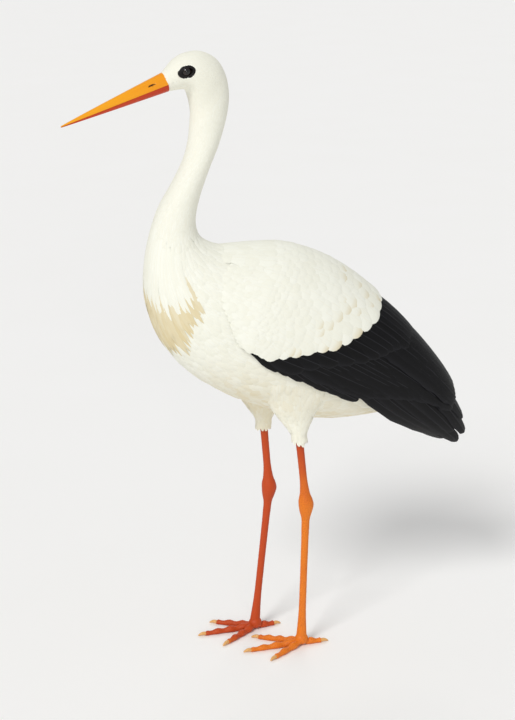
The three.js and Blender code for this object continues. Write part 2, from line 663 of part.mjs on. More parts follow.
const billGroup = new THREE.Group();
billGroup.applyMatrix4(headFrame());
billGroup.add(
  meshOf('bill_upper', upperMandible(), BILL_UPPER),
  meshOf('bill_lower', mandible(-1, BILL.keel), BILL_LOWER),
);
Object.entries({ left: LEFT, right: RIGHT }).forEach(([name, side]) => {
  const eye = meshOf(`eye_${name}`, solidOf(new THREE.SphereGeometry(EYE.radius, 14, 8)), EYE_DARK);
  eye.position.copy(eyePlace(side));
  billGroup.add(eye);
});
stork.add(billGroup);

Object.entries({ left: LEFT, right: RIGHT }).forEach(([name, side]) => {
  stork.add(
    meshOf(`wing_${name}`, arm(side).subtract(torsoSpace), WHITE),
    meshOf(`flight_feathers_${name}`, flightFeathers(side).subtract(torsoSpace), BLACK),
  );
});

Object.entries(LEG).forEach(([name, leg]) => {
  stork.add(
    meshOf(`thigh_${name}`, thigh(leg), WHITE),
    meshOf(`tibia_${name}`, tibia(leg), LEG_SKIN),
    meshOf(`tarsus_${name}`, tarsus(leg), LEG_SKIN),
    meshOf(`foot_${name}`, foot(leg), LEG_SKIN),
  );
  Object.entries(TOES).forEach(([toeName, each]) => {
    stork.add(meshOf(`claw_${toeName}_${name}`, claw(each, leg), HORN));
  });
});

// The origin goes under the middle of the whole bird.
const bounds = new THREE.Box3().setFromObject(stork, true);
const centre = bounds.getCenter(new THREE.Vector3());
stork.position.set(-centre.x, -centre.y, -bounds.min.z);

export default stork;
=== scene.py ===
import math

import bpy
import numpy as np
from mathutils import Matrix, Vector


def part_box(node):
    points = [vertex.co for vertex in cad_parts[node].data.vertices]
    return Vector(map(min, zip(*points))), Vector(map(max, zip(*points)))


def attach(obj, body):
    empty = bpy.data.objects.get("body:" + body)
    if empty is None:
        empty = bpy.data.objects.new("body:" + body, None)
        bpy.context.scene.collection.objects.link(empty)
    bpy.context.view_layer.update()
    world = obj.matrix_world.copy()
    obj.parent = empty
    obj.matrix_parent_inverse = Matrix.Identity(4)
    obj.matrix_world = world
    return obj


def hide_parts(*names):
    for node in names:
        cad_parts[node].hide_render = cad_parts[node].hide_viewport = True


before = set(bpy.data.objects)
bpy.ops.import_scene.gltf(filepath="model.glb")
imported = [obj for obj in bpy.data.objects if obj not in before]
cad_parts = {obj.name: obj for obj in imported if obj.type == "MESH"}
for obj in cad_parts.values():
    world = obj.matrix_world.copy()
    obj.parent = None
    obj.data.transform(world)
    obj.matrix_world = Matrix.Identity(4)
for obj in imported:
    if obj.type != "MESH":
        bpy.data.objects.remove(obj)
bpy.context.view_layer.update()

# ------------------------------------------------------------------------------------ camera
# A long lens a little above the bird's back, ahead of its left side. The bird faces -X and its left is -Y.

VIEW = {"azimuth": -18, "elevation": 17, "distance": 2.6, "look_at": (-0.0215, 0.0, 0.484), "focal_px": 1652}
IMAGE_HEIGHT = 720
SENSOR_HEIGHT = 24.0

azimuth, elevation = math.radians(VIEW["azimuth"]), math.radians(VIEW["elevation"])
away = Vector((math.sin(azimuth) * math.cos(elevation), -math.cos(azimuth) * math.cos(elevation),
               math.sin(elevation)))
camera = bpy.data.objects.new("camera", bpy.data.cameras.new("camera"))
camera.data.sensor_fit = "VERTICAL"
camera.data.sensor_height = SENSOR_HEIGHT
camera.data.lens = VIEW["focal_px"] * SENSOR_HEIGHT / IMAGE_HEIGHT
camera.location = Vector(VIEW["look_at"]) + away * VIEW["distance"]
camera.rotation_euler = away.to_track_quat("Z", "Y").to_euler()
bpy.context.scene.collection.objects.link(camera)
bpy.context.scene.camera = camera

# ------------------------------------------------------------------------------------ floor and light
# A plain pale floor, painted matt, under soft studio light: a wide key from the camera's left, a weak fill,
# a low narrow light that puts the gleam in the eye, and a rim from behind.


def linear(colour):
    """A hex sRGB colour as linear RGBA."""
    parts = [int(colour[i:i + 2], 16) / 255 for i in (1, 3, 5)]
    return tuple(c / 12.92 if c <= 0.04045 else ((c + 0.055) / 1.055) ** 2.4 for c in parts) + (1.0,)


def add(tree, kind, inputs=None, **settings):
    """Adds a node with its settings. An input is a value, or another node's output, which is linked."""
    made = tree.nodes.new(kind)
    for key, value in settings.items():
        setattr(made, key, value)
    for key, value in (inputs or {}).items():
        if isinstance(value, bpy.types.NodeSocket):
            tree.links.new(value, made.inputs[key])
        else:
            made.inputs[key].default_value = value
    return made


def new_material(name):
    """A material with only a Principled shader, and its tree."""
    made = bpy.data.materials.new(name)
    made.use_nodes = True
    tree = made.node_tree
    tree.nodes.clear()
    shader = add(tree, "ShaderNodeBsdfPrincipled")
    out = add(tree, "ShaderNodeOutputMaterial")
    tree.links.new(shader.outputs["BSDF"], out.inputs["Surface"])
    return made, tree, shader


# Matt floor paint: almost white and without gleam, so that only the bird's soft shadow shows on it.
FLOOR_HALF = 60.0
FLOOR_DROP = 0.0005
floor_paint, tree, shader = new_material("matt floor paint")
place = add(tree, "ShaderNodeTexCoord").outputs["Object"]
mottle = add(tree, "ShaderNodeTexNoise", {"Vector": place, "Scale": 3.0, "Detail": 3.0})
tone = add(tree, "ShaderNodeMix",
           {"Factor": mottle.outputs["Fac"], 6: linear("#fdfcfa"), 7: linear("#fbfaf7")}, data_type="RGBA")
tree.links.new(tone.outputs[2], shader.inputs["Base Color"])
shader.inputs["Roughness"].default_value = 0.9
floor_mesh = bpy.data.meshes.new("floor")
floor_mesh.from_pydata([(-FLOOR_HALF, -FLOOR_HALF, 0), (FLOOR_HALF, -FLOOR_HALF, 0),
                        (FLOOR_HALF, FLOOR_HALF, 0), (-FLOOR_HALF, FLOOR_HALF, 0)], [], [(0, 1, 2, 3)])
floor_mesh.materials.append(floor_paint)
floor = bpy.data.objects.new("floor", floor_mesh)
floor.location.z = -FLOOR_DROP
bpy.context.scene.collection.objects.link(floor)

world = bpy.data.worlds.new("studio")
world.use_nodes = True
world.node_tree.nodes["Background"].inputs["Color"].default_value = linear("#f7f8fa")
world.node_tree.nodes["Background"].inputs["Strength"].default_value = 0.46
bpy.context.scene.world = world
bpy.context.scene.view_settings.view_transform = "Standard"

LIGHTS = {  # where each soft light comes from, how wide it looks in degrees and its strength
    "key": ((-2.8, -2.6, 3.6), 18, 1.55),
    "fill": ((2.8, -3.2, 1.6), 50, 0.10),
    "catch": ((-0.6, -2.9, 0.75), 13, 0.34),
    "rim": ((1.6, 3.0, 2.6), 30, 0.5),
}
for name, (spot, width, strength) in LIGHTS.items():
    soft = bpy.data.objects.new(name, bpy.data.lights.new(name, "SUN"))
    soft.data.angle, soft.data.energy = math.radians(width), strength
    soft.location = spot
    soft.rotation_euler = Vector(spot).to_track_quat("Z", "Y").to_euler()
    bpy.context.scene.collection.objects.link(soft)

# ------------------------------------------------------------------------------------ the bird's form
# Sizes are in millimetres. The trunk is a row of upright ovals from the bill's root to the tail, and the
# folded wings lie on a second row. A place on either is a distance along it and an angle round it: 0 at the
# side, 90 on the back and -90 on the belly.

LEFT, RIGHT = -1, 1
HEAD = {"bill_base": (-203, 926), "droop": 18, "turn": 10, "turn_axis": -132, "ends": 92, "turn_ends": 352}
EYE = {"radius": 8.4, "behind": 30.6, "above": 7.1, "aside": 15.8}


def with_distances(rows):
    """Rows of back x, z, belly x, z and half-width, each given its distance along the middle line."""
    rows = np.array(rows, float)
    middle = (rows[:, 0:2] + rows[:, 2:4]) / 2
    steps = np.hypot(*np.diff(middle, axis=0).T)
    return np.column_stack([np.concatenate([[0], np.cumsum(steps)]), rows])


BODY = with_distances([
    (-207.6, 940.2, -198.7, 912.7, 12.5), (-198.4, 949, -186.5, 914, 17), (-187.9, 958.8, -172.1, 914.1, 22),
    (-171, 967, -164.5, 908, 25.5), (-147, 969, -162, 898, 27.5), (-122, 958, -160.5, 887, 27.5),
    (-106.5, 936, -160, 874, 25.5), (-100, 907, -162, 857, 25.5), (-103, 877, -165, 834.5, 25),
    (-115.5, 835.5, -173.5, 806.5, 25), (-134, 792, -192, 772, 26.5), (-149, 749.5, -213.5, 735.5, 29.5),
    (-155, 717, -226, 696, 34.5), (-149, 694, -234, 651, 42), (-131, 680, -235, 602, 53),
    (-100, 672, -217, 540, 66), (-56, 667, -177, 484, 76), (-2, 656, -119, 441, 83),
    (56, 630, -58, 411, 82), (108, 592, 4, 388, 74), (154, 546, 70, 377, 61), (190, 500, 132, 377, 45),
    (217, 460, 180, 381, 32), (243.9, 418.9, 216.1, 384.7, 27), (258.8, 391.3, 246.2, 375.7, 23),
    (281.5, 365, 276.5, 359, 20),
])
RUMP = BODY[22, 0]
WING = with_distances([
    (-117, 676, -230, 575, 61), (-100, 674, -219, 539, 67.5), (-55, 670, -180, 480, 78),
    (0, 661, -119, 440, 85), (60, 636, -60, 410, 85), (114, 599, 0, 387, 80), (162, 556, 62, 369, 73),
    (203, 511, 121, 357, 65), (239, 467, 174, 346, 56), (269, 425, 219, 334, 47), (291, 389, 250, 322, 37),
    (306, 360, 273, 311, 27), (316, 338, 288, 302, 17),
])


def curved(at, values, slopes, along):
    """Values along a smooth curve through rows that stand at the given places with the given slopes."""
    i = np.clip(np.searchsorted(at, along, side="right") - 1, 0, len(at) - 2)
    span = (at[i + 1] - at[i])[..., None]
    t = (along - at[i])[..., None] / span
    return ((2 * t**3 - 3 * t**2 + 1) * values[i] + (t**3 - 2 * t**2 + t) * span * slopes[i]
            + (3 * t**2 - 2 * t**3) * values[i + 1] + (t**3 - t**2) * span * slopes[i + 1])


def oval(form, along, angle, lift, side=RIGHT):
    """Points of a form, with a smooth curve through its rows. lift moves them outwards."""
    along, angle, lift = np.broadcast_arrays(along, angle, lift)
    at, values = form[:, 0], form[:, 1:]
    k = np.arange(len(at))
    before, after = np.maximum(k - 1, 0), np.minimum(k + 1, len(at) - 1)
    slopes = (values[after] - values[before]) / (at[after] - at[before])[:, None]
    row = curved(at, values, slopes, along)
    back, belly, half = row[..., 0:2], row[..., 2:4], row[..., 4]
    height = np.hypot(*np.moveaxis(back - belly, -1, 0))
    up = (back - belly) / height[..., None]
    turn = np.radians(angle)
    middle = (back + belly) / 2 + up * ((height / 2 + lift) * np.sin(turn))[..., None]
    return np.stack([middle[..., 0], side * (half + lift) * np.cos(turn), middle[..., 1]], -1)


def turn_head(points, share):
    """Turns points about the head's upright axis by a share of its turn."""
    turn = np.radians(HEAD["turn"] * share)
    x = points[..., 0] - HEAD["turn_axis"]
    y = points[..., 1]
    return np.stack([x * np.cos(turn) - y * np.sin(turn) + HEAD["turn_axis"],
                     x * np.sin(turn) + y * np.cos(turn), points[..., 2]], -1)


def trunk(along, angle, lift):
    """The surface of head, neck and torso. The head's turn fades out down the neck."""
    t = np.clip((along - HEAD["ends"]) / (HEAD["turn_ends"] - HEAD["ends"]), 0, 1)
    return turn_head(oval(BODY, along, angle, lift), 1 - t * t * (3 - 2 * t))


def from_head(points):
    """Points of the head's own frame, whose -X runs along the bill, in the bird's frame."""
    points = np.asarray(points, float)
    droop = math.radians(HEAD["droop"])
    x, y, z = np.moveaxis(points, -1, 0)
    turned = np.stack([x * math.cos(droop) - z * math.sin(droop) + HEAD["bill_base"][0], y,
                       x * math.sin(droop) + z * math.cos(droop) + HEAD["bill_base"][1]], -1)
    return turn_head(turned, 1.0)


def to_head(points):
    """The reverse of from_head."""
    droop = math.radians(HEAD["droop"])
    x, y, z = np.moveaxis(turn_head(points, -1.0), -1, 0)
    x, z = x - HEAD["bill_base"][0], z - HEAD["bill_base"][1]
    return np.stack([x * math.cos(droop) + z * math.sin(droop), y,
                     -x * math.sin(droop) + z * math.cos(droop)], -1)


eye_low, eye_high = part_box("eye_left")
eye_centre = from_head([EYE["behind"], LEFT * EYE["aside"], EYE["above"]])
FRAME_SHIFT = np.array((eye_low + eye_high) / 2) * 1000 - eye_centre


def in_metres(points):
    """Points of the bird's own frame, in millimetres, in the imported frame."""
    return (points + FRAME_SHIFT) / 1000


def built(name, points, faces, material, maps=None, values=None):
    """An object from points in millimetres and arrays of faces, turned to face outwards."""
    mesh = bpy.data.meshes.new(name)
    points = in_metres(points)
    volume = 0.0
    for face in faces:
        for k in range(1, face.shape[1] - 1):
            a, b, c = points[face[:, 0]], points[face[:, k]], points[face[:, k + 1]]
            volume += np.einsum("ij,ij->", a, np.cross(b, c))
    if volume < 0:
        faces = [face[:, ::-1] for face in faces]
    corners = np.concatenate([face.ravel() for face in faces])
    sizes = np.concatenate([np.full(len(face), face.shape[1]) for face in faces])
    mesh.vertices.add(len(points))
    mesh.vertices.foreach_set("co", points.astype(np.float32).ravel())
    mesh.loops.add(len(corners))
    mesh.loops.foreach_set("vertex_index", corners.astype(np.int32))
    mesh.polygons.add(len(sizes))
    mesh.polygons.foreach_set("loop_start", (np.cumsum(sizes) - sizes).astype(np.int32))
    mesh.update(calc_edges=True)
    for key, uv in (maps or {}).items():
        layer = mesh.uv_layers.new(name=key)
        layer.data.foreach_set("uv", uv[corners].astype(np.float32).ravel())
    for key, value in (values or {}).items():
        layer = mesh.attributes.new(key, "FLOAT", "POINT")
        layer.data.foreach_set("value", value.astype(np.float32))
    mesh.shade_smooth()
    mesh.materials.append(material)
    made = bpy.data.objects.new(name, mesh)
    bpy.context.scene.collection.objects.link(made)
    return made


def tube(rings):
    """Points and faces of a closed solid through rings of equally many points."""
    count, corners = rings.shape[:2]
    ends = [rings[0].mean(0), rings[-1].mean(0)]
    points = np.concatenate([rings.reshape(-1, 3), ends])
    i, j = np.meshgrid(np.arange(count - 1), np.arange(corners), indexing="ij")
    a, b = i * corners + j, i * corners + (j + 1) % corners
    sides = np.stack([a, b, b + corners, a + corners], -1).reshape(-1, 4)
    j = np.arange(corners)
    first, last = count * corners, count * corners + 1
    start = np.stack([np.full(corners, first), (j + 1) % corners, j], -1)
    end = np.stack([np.full(corners, last), first - corners + j, first - corners + (j + 1) % corners], -1)
    return points, [sides, np.concatenate([start, end])]


def applied(piece):
    """Leaves a piece with the plain mesh that its modifiers make."""
    graph = bpy.context.evaluated_depsgraph_get()
    result = bpy.data.meshes.new_from_object(piece.evaluated_get(graph))
    piece.modifiers.clear()
    piece.data = result


def joined(body, tool, operation):
    """Adds tool to body, or cuts it away, and leaves one plain mesh."""
    change = body.modifiers.new("join", "BOOLEAN")
    change.operation, change.object, change.solver = operation, tool, "MANIFOLD"
    applied(body)
    bpy.data.objects.remove(tool)


def finish(piece, slot, *nodes):
    """Every piece rides on the one body and may stand for nodes, whose parts it hides. slot is not used."""
    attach(piece, "root")
    if nodes:
        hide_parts(*nodes)


# ------------------------------------------------------------------------------------ skin
# One skin over head, neck, trunk, thighs and the root of the tail, a coat's depth inside the plumage.
# Pale pinkish-cream bird skin, goose-fleshed where the quills stand, as on a mounted bird.

THIGH = {"fore": 50, "across": 23, "end": 14, "aside": 33, "stance": 40, "blend": 4.0, "skin": -4.0}
THIGH_SIZE = [  # the share of the way down a thigh, and the share of its full size there
    (-0.3, 1.0), (0, 1), (0.25, 0.92), (0.5, 0.72), (0.75, 0.46), (0.92, 0.3), (1, 0.2)]
LEGS = {
    LEFT: {"hip": (-8, 446), "knee": (1, 364), "ankle": (14, 246), "foot": (8, 12)},
    RIGHT: {"hip": (-34, 446), "knee": (-32, 366), "ankle": (-22, 250), "foot": (-46, 12)},
}
TAIL = {"root": (205, 422), "tip": (288, 354.7)}
SOCKET = {"room": 0.15, "mouth": 2.4, "flare": 0.28}  # round the globe, and how it widens outwards


def coat_depth(along):
    """How deep the skin of the trunk lies under the plumage: least on the face, most on the torso."""
    return np.interp(along, [0, 10, 40, 92, 172, 262, 352, 480, 700],
                     [0.4, 0.6, 0.8, 1.2, 2.2, 3.0, 4.0, 5.0, 5.0])


flank_at = np.linspace(360, RUMP, 160)
flank_top, flank_low = (oval(BODY, flank_at, angle, 0.0)[:, ::2] for angle in (90.0, -90.0))
flank_half = oval(BODY, flank_at, 0.0, 0.0)[:, 1]


def flank(x, z):
    """How far the trunk reaches to the side at a place that is seen from the side."""
    spine = (flank_top - flank_low) / 2
    place = np.stack(np.broadcast_arrays(x, z), -1)[..., None, :] - (flank_top + flank_low) / 2
    off = place[..., 0] * spine[:, 1] - place[..., 1] * spine[:, 0]
    up = (place * spine).sum(-1) / (spine**2).sum(-1)
    k = (off[..., :-1] * off[..., 1:] <= 0).argmax(-1)[..., None]
    before, after = np.take_along_axis(off, k, -1), np.take_along_axis(off, k + 1, -1)
    share = before / np.where(before == after, 1, before - after)
    up = np.take_along_axis(up, k, -1) * (1 - share) + np.take_along_axis(up, k + 1, -1) * share
    half = flank_half[k] * (1 - share) + flank_half[k + 1] * share
    return (half * np.sqrt(np.clip(1 - up**2, 0, 1)))[..., 0]


def thigh(side):
    """The surface of a thigh: along runs down it, angle round it. Its outer side runs up into the flank
    without a crease."""
    leg = LEGS[side]
    (hip_x, hip_z), (knee_x, knee_z) = leg["hip"], leg["knee"]
    length = hip_z - knee_z

    def shape(along, angle, lift):
        t = along / length
        size = np.interp(t, *zip(*THIGH_SIZE))
        turn = np.radians(angle)
        fore = np.maximum(THIGH["fore"] * size, THIGH["end"]) + lift
        across = np.maximum(THIGH["across"] * size, THIGH["end"] * 0.85) + lift
        aside = THIGH["aside"] + (THIGH["stance"] - THIGH["aside"]) * t
        x, z = hip_x + (knee_x - hip_x) * t + fore * np.cos(turn), hip_z - along + 0 * turn
        reach = aside + across * np.sin(turn)
        cover = flank(x, z) + lift
        blended = (np.maximum(reach, cover)
                   + THIGH["blend"] * np.log1p(np.exp(-np.abs(reach - cover) / THIGH["blend"])))
        reach = reach + (blended - reach) * np.clip(np.sin(turn) * 2, 0, 1)
        return np.stack(np.broadcast_arrays(x, side * reach, z), -1)

    return shape


# Bare bird skin: pale, dull and a little pitted where quills stand, about 4 mm apart. All that shows of it is
# a light ground in the gaps between feathers.
bird_skin, tree, shader = new_material("bird skin")
place = add(tree, "ShaderNodeTexCoord").outputs["Object"]
quills = add(tree, "ShaderNodeTexVoronoi", {"Vector": place, "Scale": 260.0})
dots = add(tree, "ShaderNodeMapRange", {"Value": quills.outputs["Distance"], 1: 0.0, 2: 0.45, 3: 1.0, 4: 0.0})
tone = add(tree, "ShaderNodeMix", {"Factor": dots.outputs[0], 6: linear("#efe9da"), 7: linear("#f5f1e6")},
           data_type="RGBA")
goose = add(tree, "ShaderNodeBump", {"Height": dots.outputs[0], "Strength": 0.3, "Distance": 0.0003})
tree.links.new(tone.outputs[2], shader.inputs["Base Color"])
tree.links.new(goose.outputs["Normal"], shader.inputs["Normal"])
shader.inputs["Roughness"].default_value = 0.8

stations = np.concatenate([np.linspace(0, 110, 74)[:-1], np.linspace(110, RUMP + 52, 170)])[:, None]
around = np.linspace(-180, 180, 97)[None, :-1]
skin = built("skin", *tube(trunk(stations, around, -coat_depth(stations))), bird_skin)
for side in (LEFT, RIGHT):
    down = np.linspace(-6, LEGS[side]["hip"][1] - LEGS[side]["knee"][1] - 5, 44)[:, None]
    part = built("thigh", *tube(thigh(side)(down, around, THIGH["skin"])), bird_skin)
    joined(skin, part, "UNION")
for side in (LEFT, RIGHT):
    turn = np.radians(np.linspace(0, 360, 41)[None, :-1])
    polar = np.radians(np.linspace(3, 177, 24)[:, None])
    reach = EYE["radius"] + SOCKET["room"]
    outer = polar < math.pi / 2
    hole = reach * np.sin(polar) * (1 + SOCKET["flare"] * np.where(outer, np.cos(polar), 0))
    ball = np.stack(np.broadcast_arrays(
        EYE["behind"] + hole * np.cos(turn),
        side * (EYE["aside"] + reach * np.cos(polar) * np.where(outer, SOCKET["mouth"], 1)) + 0 * turn,
        EYE["above"] + hole * np.sin(turn)), -1)
    joined(skin, built("socket", *tube(from_head(ball)), bird_skin), "DIFFERENCE")
finish(skin, "white_plumage", "head", "neck_upper", "neck_middle", "neck_lower", "torso",
       "thigh_left", "thigh_right")

# ------------------------------------------------------------------------------------ body plumage
# Contour feathers of white keratin barbs on a fine shaft, loose at their tips. They grow in staggered ranks
# and lie backwards over one another: tiny on the face, hair-like on the neck, broad on breast and back.

# How wide a feather is along its length, as shares of its length and of its width.
SMALL = np.array([(0, 0.35), (0.42, 1.0), (0.82, 0.72), (1, 0.16)])
HAIRY = np.array([(0, 0.3), (0.3, 0.9), (0.6, 1.0), (0.86, 0.62), (1, 0.1)])
ROUND = np.array([(0, 0.25), (0.22, 0.78), (0.48, 1.0), (0.72, 0.94), (0.9, 0.66), (1, 0.22)])
random = np.random.default_rng(20)


def eased(t):
    """A rise that is steep at a feather's root and almost level at its tip."""
    return np.sin(t * 1.35) / math.sin(1.35)


def vane_faces(rows, columns):
    """Faces of a thin closed vane: an upper and an under side that share their rim."""
    upper = np.arange(rows * columns).reshape(rows, columns)
    under = upper.copy()
    inner = np.arange((rows - 2) * (columns - 2)).reshape(rows - 2, columns - 2)
    under[1:-1, 1:-1] = rows * columns + inner

    def quads(grid):
        return np.stack([grid[:-1, :-1], grid[:-1, 1:], grid[1:, 1:], grid[1:, :-1]], -1).reshape(-1, 4)

    return np.concatenate([quads(upper), quads(under)[:, ::-1]])


def stretch(shape, places):
    """Millimetres on the surface for each step along it and for each degree round it."""
    step = 0.25
    along, angle = np.moveaxis(places, -1, 0)
    here = shape(along, angle, 0.0)
    return np.stack([np.linalg.norm(shape(along + step, angle, 0.0) - here, axis=-1),
                     np.linalg.norm(shape(along, angle + step, 0.0) - here, axis=-1)], -1) / step


def vanes(shape, start, end, width, outline, lift, columns=3, camber=0.2, tilt=0.0, thickness=0.25,
          ragged=0.06, ridge=0.0, sweep=0.0, tint=0.0, fringe=0.0):
    """Feathers laid on a surface from start to end, both places (along, angle) on it.

    lift is the height of each feather's middle at its root and its tip, or at each row of the outline. sweep
    bends the middle line sideways, and tilt raises the lower edge over the next feather.
    """
    t, share = outline.T
    count = len(start)
    centre = start[:, None] + (end - start)[:, None] * t[:, None]
    scale = stretch(shape, centre)
    heading = (end - start)[:, None] * scale
    length = np.linalg.norm(heading, axis=-1)
    heading = heading / length[..., None]
    edge = np.linspace(-1, 1, columns)
    if ridge:  # two more lines of points beside the raised shaft
        edge = np.sort(np.concatenate([edge, [-0.07, 0.07]]))
        columns += 2
    half = (np.broadcast_to(width, count)[:, None] / 2 * share)[..., None] * edge
    rough = random.normal(0, ragged, half.shape) * (np.abs(edge) > 0.9)
    half = half * (1 + rough)
    bow = np.sin(t * math.pi) * length.mean(1)[:, None]
    across = (half + np.broadcast_to(sweep, count)[:, None, None] * bow[..., None])[..., None]
    normal = np.stack([-heading[..., 1], heading[..., 0]], -1)
    places = centre[:, :, None] + normal[:, :, None] * across / scale[:, :, None]
    lift = np.asarray(lift, float)
    if lift.shape[-1] == 2:
        lift = lift[..., :1] + (lift[..., 1:] - lift[..., :1]) * eased(t)
    widest = np.abs(half).max(2)
    height = np.broadcast_to(lift, (count, len(t)))[..., None] - tilt * half
    height = height + camber * widest[..., None] * (1 - edge**2) + ridge * (edge == 0)
    top = shape(places[..., 0], places[..., 1], height)
    below = shape(places[:, 1:-1, 1:-1, 0], places[:, 1:-1, 1:-1, 1], height[:, 1:-1, 1:-1] - thickness)
    points = np.concatenate([top.reshape(count, -1, 3), below.reshape(count, -1, 3)], 1)
    flat = np.stack(np.broadcast_arrays(half, (length.mean(1)[:, None] * t)[..., None]), -1)
    flat = np.concatenate([flat.reshape(count, -1, 2), flat[:, 1:-1, 1:-1].reshape(count, -1, 2)], 1)
    tint = np.broadcast_to(np.asarray(tint, float), (count, len(t)))[..., None] + fringe * edge**4 + 0 * half
    tint = np.concatenate([tint.reshape(count, -1), tint[:, 1:-1, 1:-1].reshape(count, -1)], 1)
    return {"points": points, "faces": vane_faces(len(t), columns), "flat": flat, "tint": tint, "root": start}


def headed(shape, start, length, heading):
    """The tips of feathers of a length that leave their roots at a heading, in degrees from straight back."""
    turn = np.radians(heading)
    return start + np.stack([np.cos(turn), np.sin(turn)], -1) * length[:, None] / stretch(shape, start)


def ranks(shape, stations, pitch, low=-90.0, high=270.0, scatter=0.25, apart=0.0):
    """Places in staggered ranks across a surface, pitch apart at each station. They are thinned out where the
    ranks lie closer than apart on the surface."""
    made = []
    fine = np.linspace(low, high, 145)
    for k, (station, gap) in enumerate(zip(stations, np.broadcast_to(pitch, len(stations)))):
        line = shape(np.full(len(fine), station), fine, 0.0)
        run = np.concatenate([[0], np.cumsum(np.linalg.norm(np.diff(line, axis=0), axis=1))])
        count = max(2, int(run[-1] / gap))
        at = (np.arange(count) + 0.5 * (k % 2) + random.uniform(-scatter, scatter, count)) * run[-1] / count
        made.append(np.column_stack([station + random.uniform(-scatter, scatter, count) * gap,
                                     np.interp(at, run, fine)]))
    made = np.concatenate(made)
    if apart:
        along, angle = made.T
        ahead = along + (stations[1] - stations[0])
        run = np.linalg.norm(shape(ahead, angle, 0.0) - shape(along, angle, 0.0), axis=1)
        made = made[random.uniform(0, apart, len(made)) <= run]
    return made


PATCH = 0.003  # how large each feather is on the unwrap


def plumage(name, groups, material, unwrap):
    """One joined piece from groups of feathers. unwrap lays the skin's own shape out flat, and each feather
    is a small patch there at its root's place."""
    points, faces, bake, flat, tint, shade = [], [], [], [], [], []
    base = 0
    for group in groups:
        count, size = group["points"].shape[:2]
        points.append(group["points"].reshape(-1, 3))
        steps = base + np.arange(count) * size
        faces.append((group["faces"][None] + steps[:, None, None]).reshape(-1, 4))
        base += count * size
        local = group["flat"] - group["flat"].min(1, keepdims=True)
        local = local / np.maximum(local.max(1, keepdims=True), 1e-6)
        bake.append((unwrap(group["root"])[:, None] + (local - 0.5) * PATCH).reshape(-1, 2))
        flat.append(group["flat"].reshape(-1, 2) / 100)
        tint.append(group["tint"].ravel())
        shade.append(np.repeat(random.uniform(0, 1, count), size))
    made = built(name, np.concatenate(points), [np.concatenate(faces)], material,
                 {"OFBake": np.concatenate(bake), "vane": np.concatenate(flat)},
                 {"tint": np.concatenate(tint), "shade": np.concatenate(shade)})
    made.data.set_sharp_from_angle(angle=math.radians(75))
    return made


def inset(across, up):
    """Shares of an unwrap's width and height, kept a little inside its border."""
    return np.column_stack([0.02 + 0.96 * across, 0.02 + 0.96 * up])


def trunk_unwrap(root):
    """The trunk slit along its belly line."""
    return inset(root[:, 0] / (RUMP + 60), ((root[:, 1] + 90) % 360) / 360)


def feather_material(name, colour, worn, stain_and_shade, shaft, roughness, gloss, barb_depth):
    """Keratin barbs that slope from a paler shaft towards the tip. They are finer than can show, so they are
    drawn 1 mm apart. Some feathers are more worn than others, and the tint of a vane says how much of the
    stain_and_shade colour it takes: stains on some covert tips, paler fringes on the black feathers, and
    painted shade on the belly, beneath the breast plumes and on the thighs."""
    made, tree, shader = new_material(name)
    flat = add(tree, "ShaderNodeUVMap", uv_map="vane").outputs["UV"]
    parts = add(tree, "ShaderNodeSeparateXYZ", {"Vector": flat})
    aside = add(tree, "ShaderNodeMath", {0: parts.outputs["X"]}, operation="ABSOLUTE").outputs[0]
    barb = add(tree, "ShaderNodeMath", {0: aside, 1: -0.9, 2: parts.outputs["Y"]}, operation="MULTIPLY_ADD")
    line = add(tree, "ShaderNodeCombineXYZ", {"X": barb.outputs[0], "Y": aside})
    barbs = add(tree, "ShaderNodeTexNoise", {"Vector": line.outputs[0], "Scale": 100.0, "Detail": 2.0})
    spine = add(tree, "ShaderNodeMapRange", {"Value": aside, 1: 0.002, 2: 0.006, 3: 1.0, 4: 0.0})
    shade = add(tree, "ShaderNodeAttribute", attribute_name="shade").outputs["Fac"]
    tint = add(tree, "ShaderNodeAttribute", attribute_name="tint").outputs["Fac"]
    worn_share = add(tree, "ShaderNodeMath", {0: barbs.outputs["Fac"], 1: shade}, operation="MULTIPLY")
    base = add(tree, "ShaderNodeMix", {"Factor": worn_share.outputs[0], 6: linear(colour), 7: linear(worn)},
               data_type="RGBA")
    shafted = add(tree, "ShaderNodeMix", {"Factor": spine.outputs[0], 6: base.outputs[2], 7: linear(shaft)},
                  data_type="RGBA")
    stained_and_shaded = add(tree, "ShaderNodeMix", {"Factor": tint, 6: shafted.outputs[2], 7: linear(stain_and_shade)},
                  data_type="RGBA")
    bump = add(tree, "ShaderNodeBump",
               {"Height": barbs.outputs["Fac"], "Strength": barb_depth, "Distance": 0.0005})
    tree.links.new(stained_and_shaded.outputs[2], shader.inputs["Base Color"])
    tree.links.new(bump.outputs["Normal"], shader.inputs["Normal"])
    shader.inputs["Roughness"].default_value = roughness
    shader.inputs["Specular IOR Level"].default_value = gloss
    return made


# White feather keratin: barbs full of air scatter all light, so the plumage looks matt and soft, a warm white
# that turns cream where it is stained and where cream is painted as shade: on the belly, beneath the breast
# plumes and on the thighs.
white_barbs = feather_material("white feather keratin", "#f4f4e8", "#ecebda", "#dfcfa4", "#f1efdf",
                               roughness=0.8, gloss=0.25, barb_depth=0.4)

# No feather crosses the ring round the eye, or the corner of the mouth, which is given from the bill's root.
BARE = {"ahead": 1.0, "long": 12.6, "high": 9.9, "aside": 10}
MOUTH = {"level": -2.4, "open": 0.8, "behind": 10, "aside": 8}


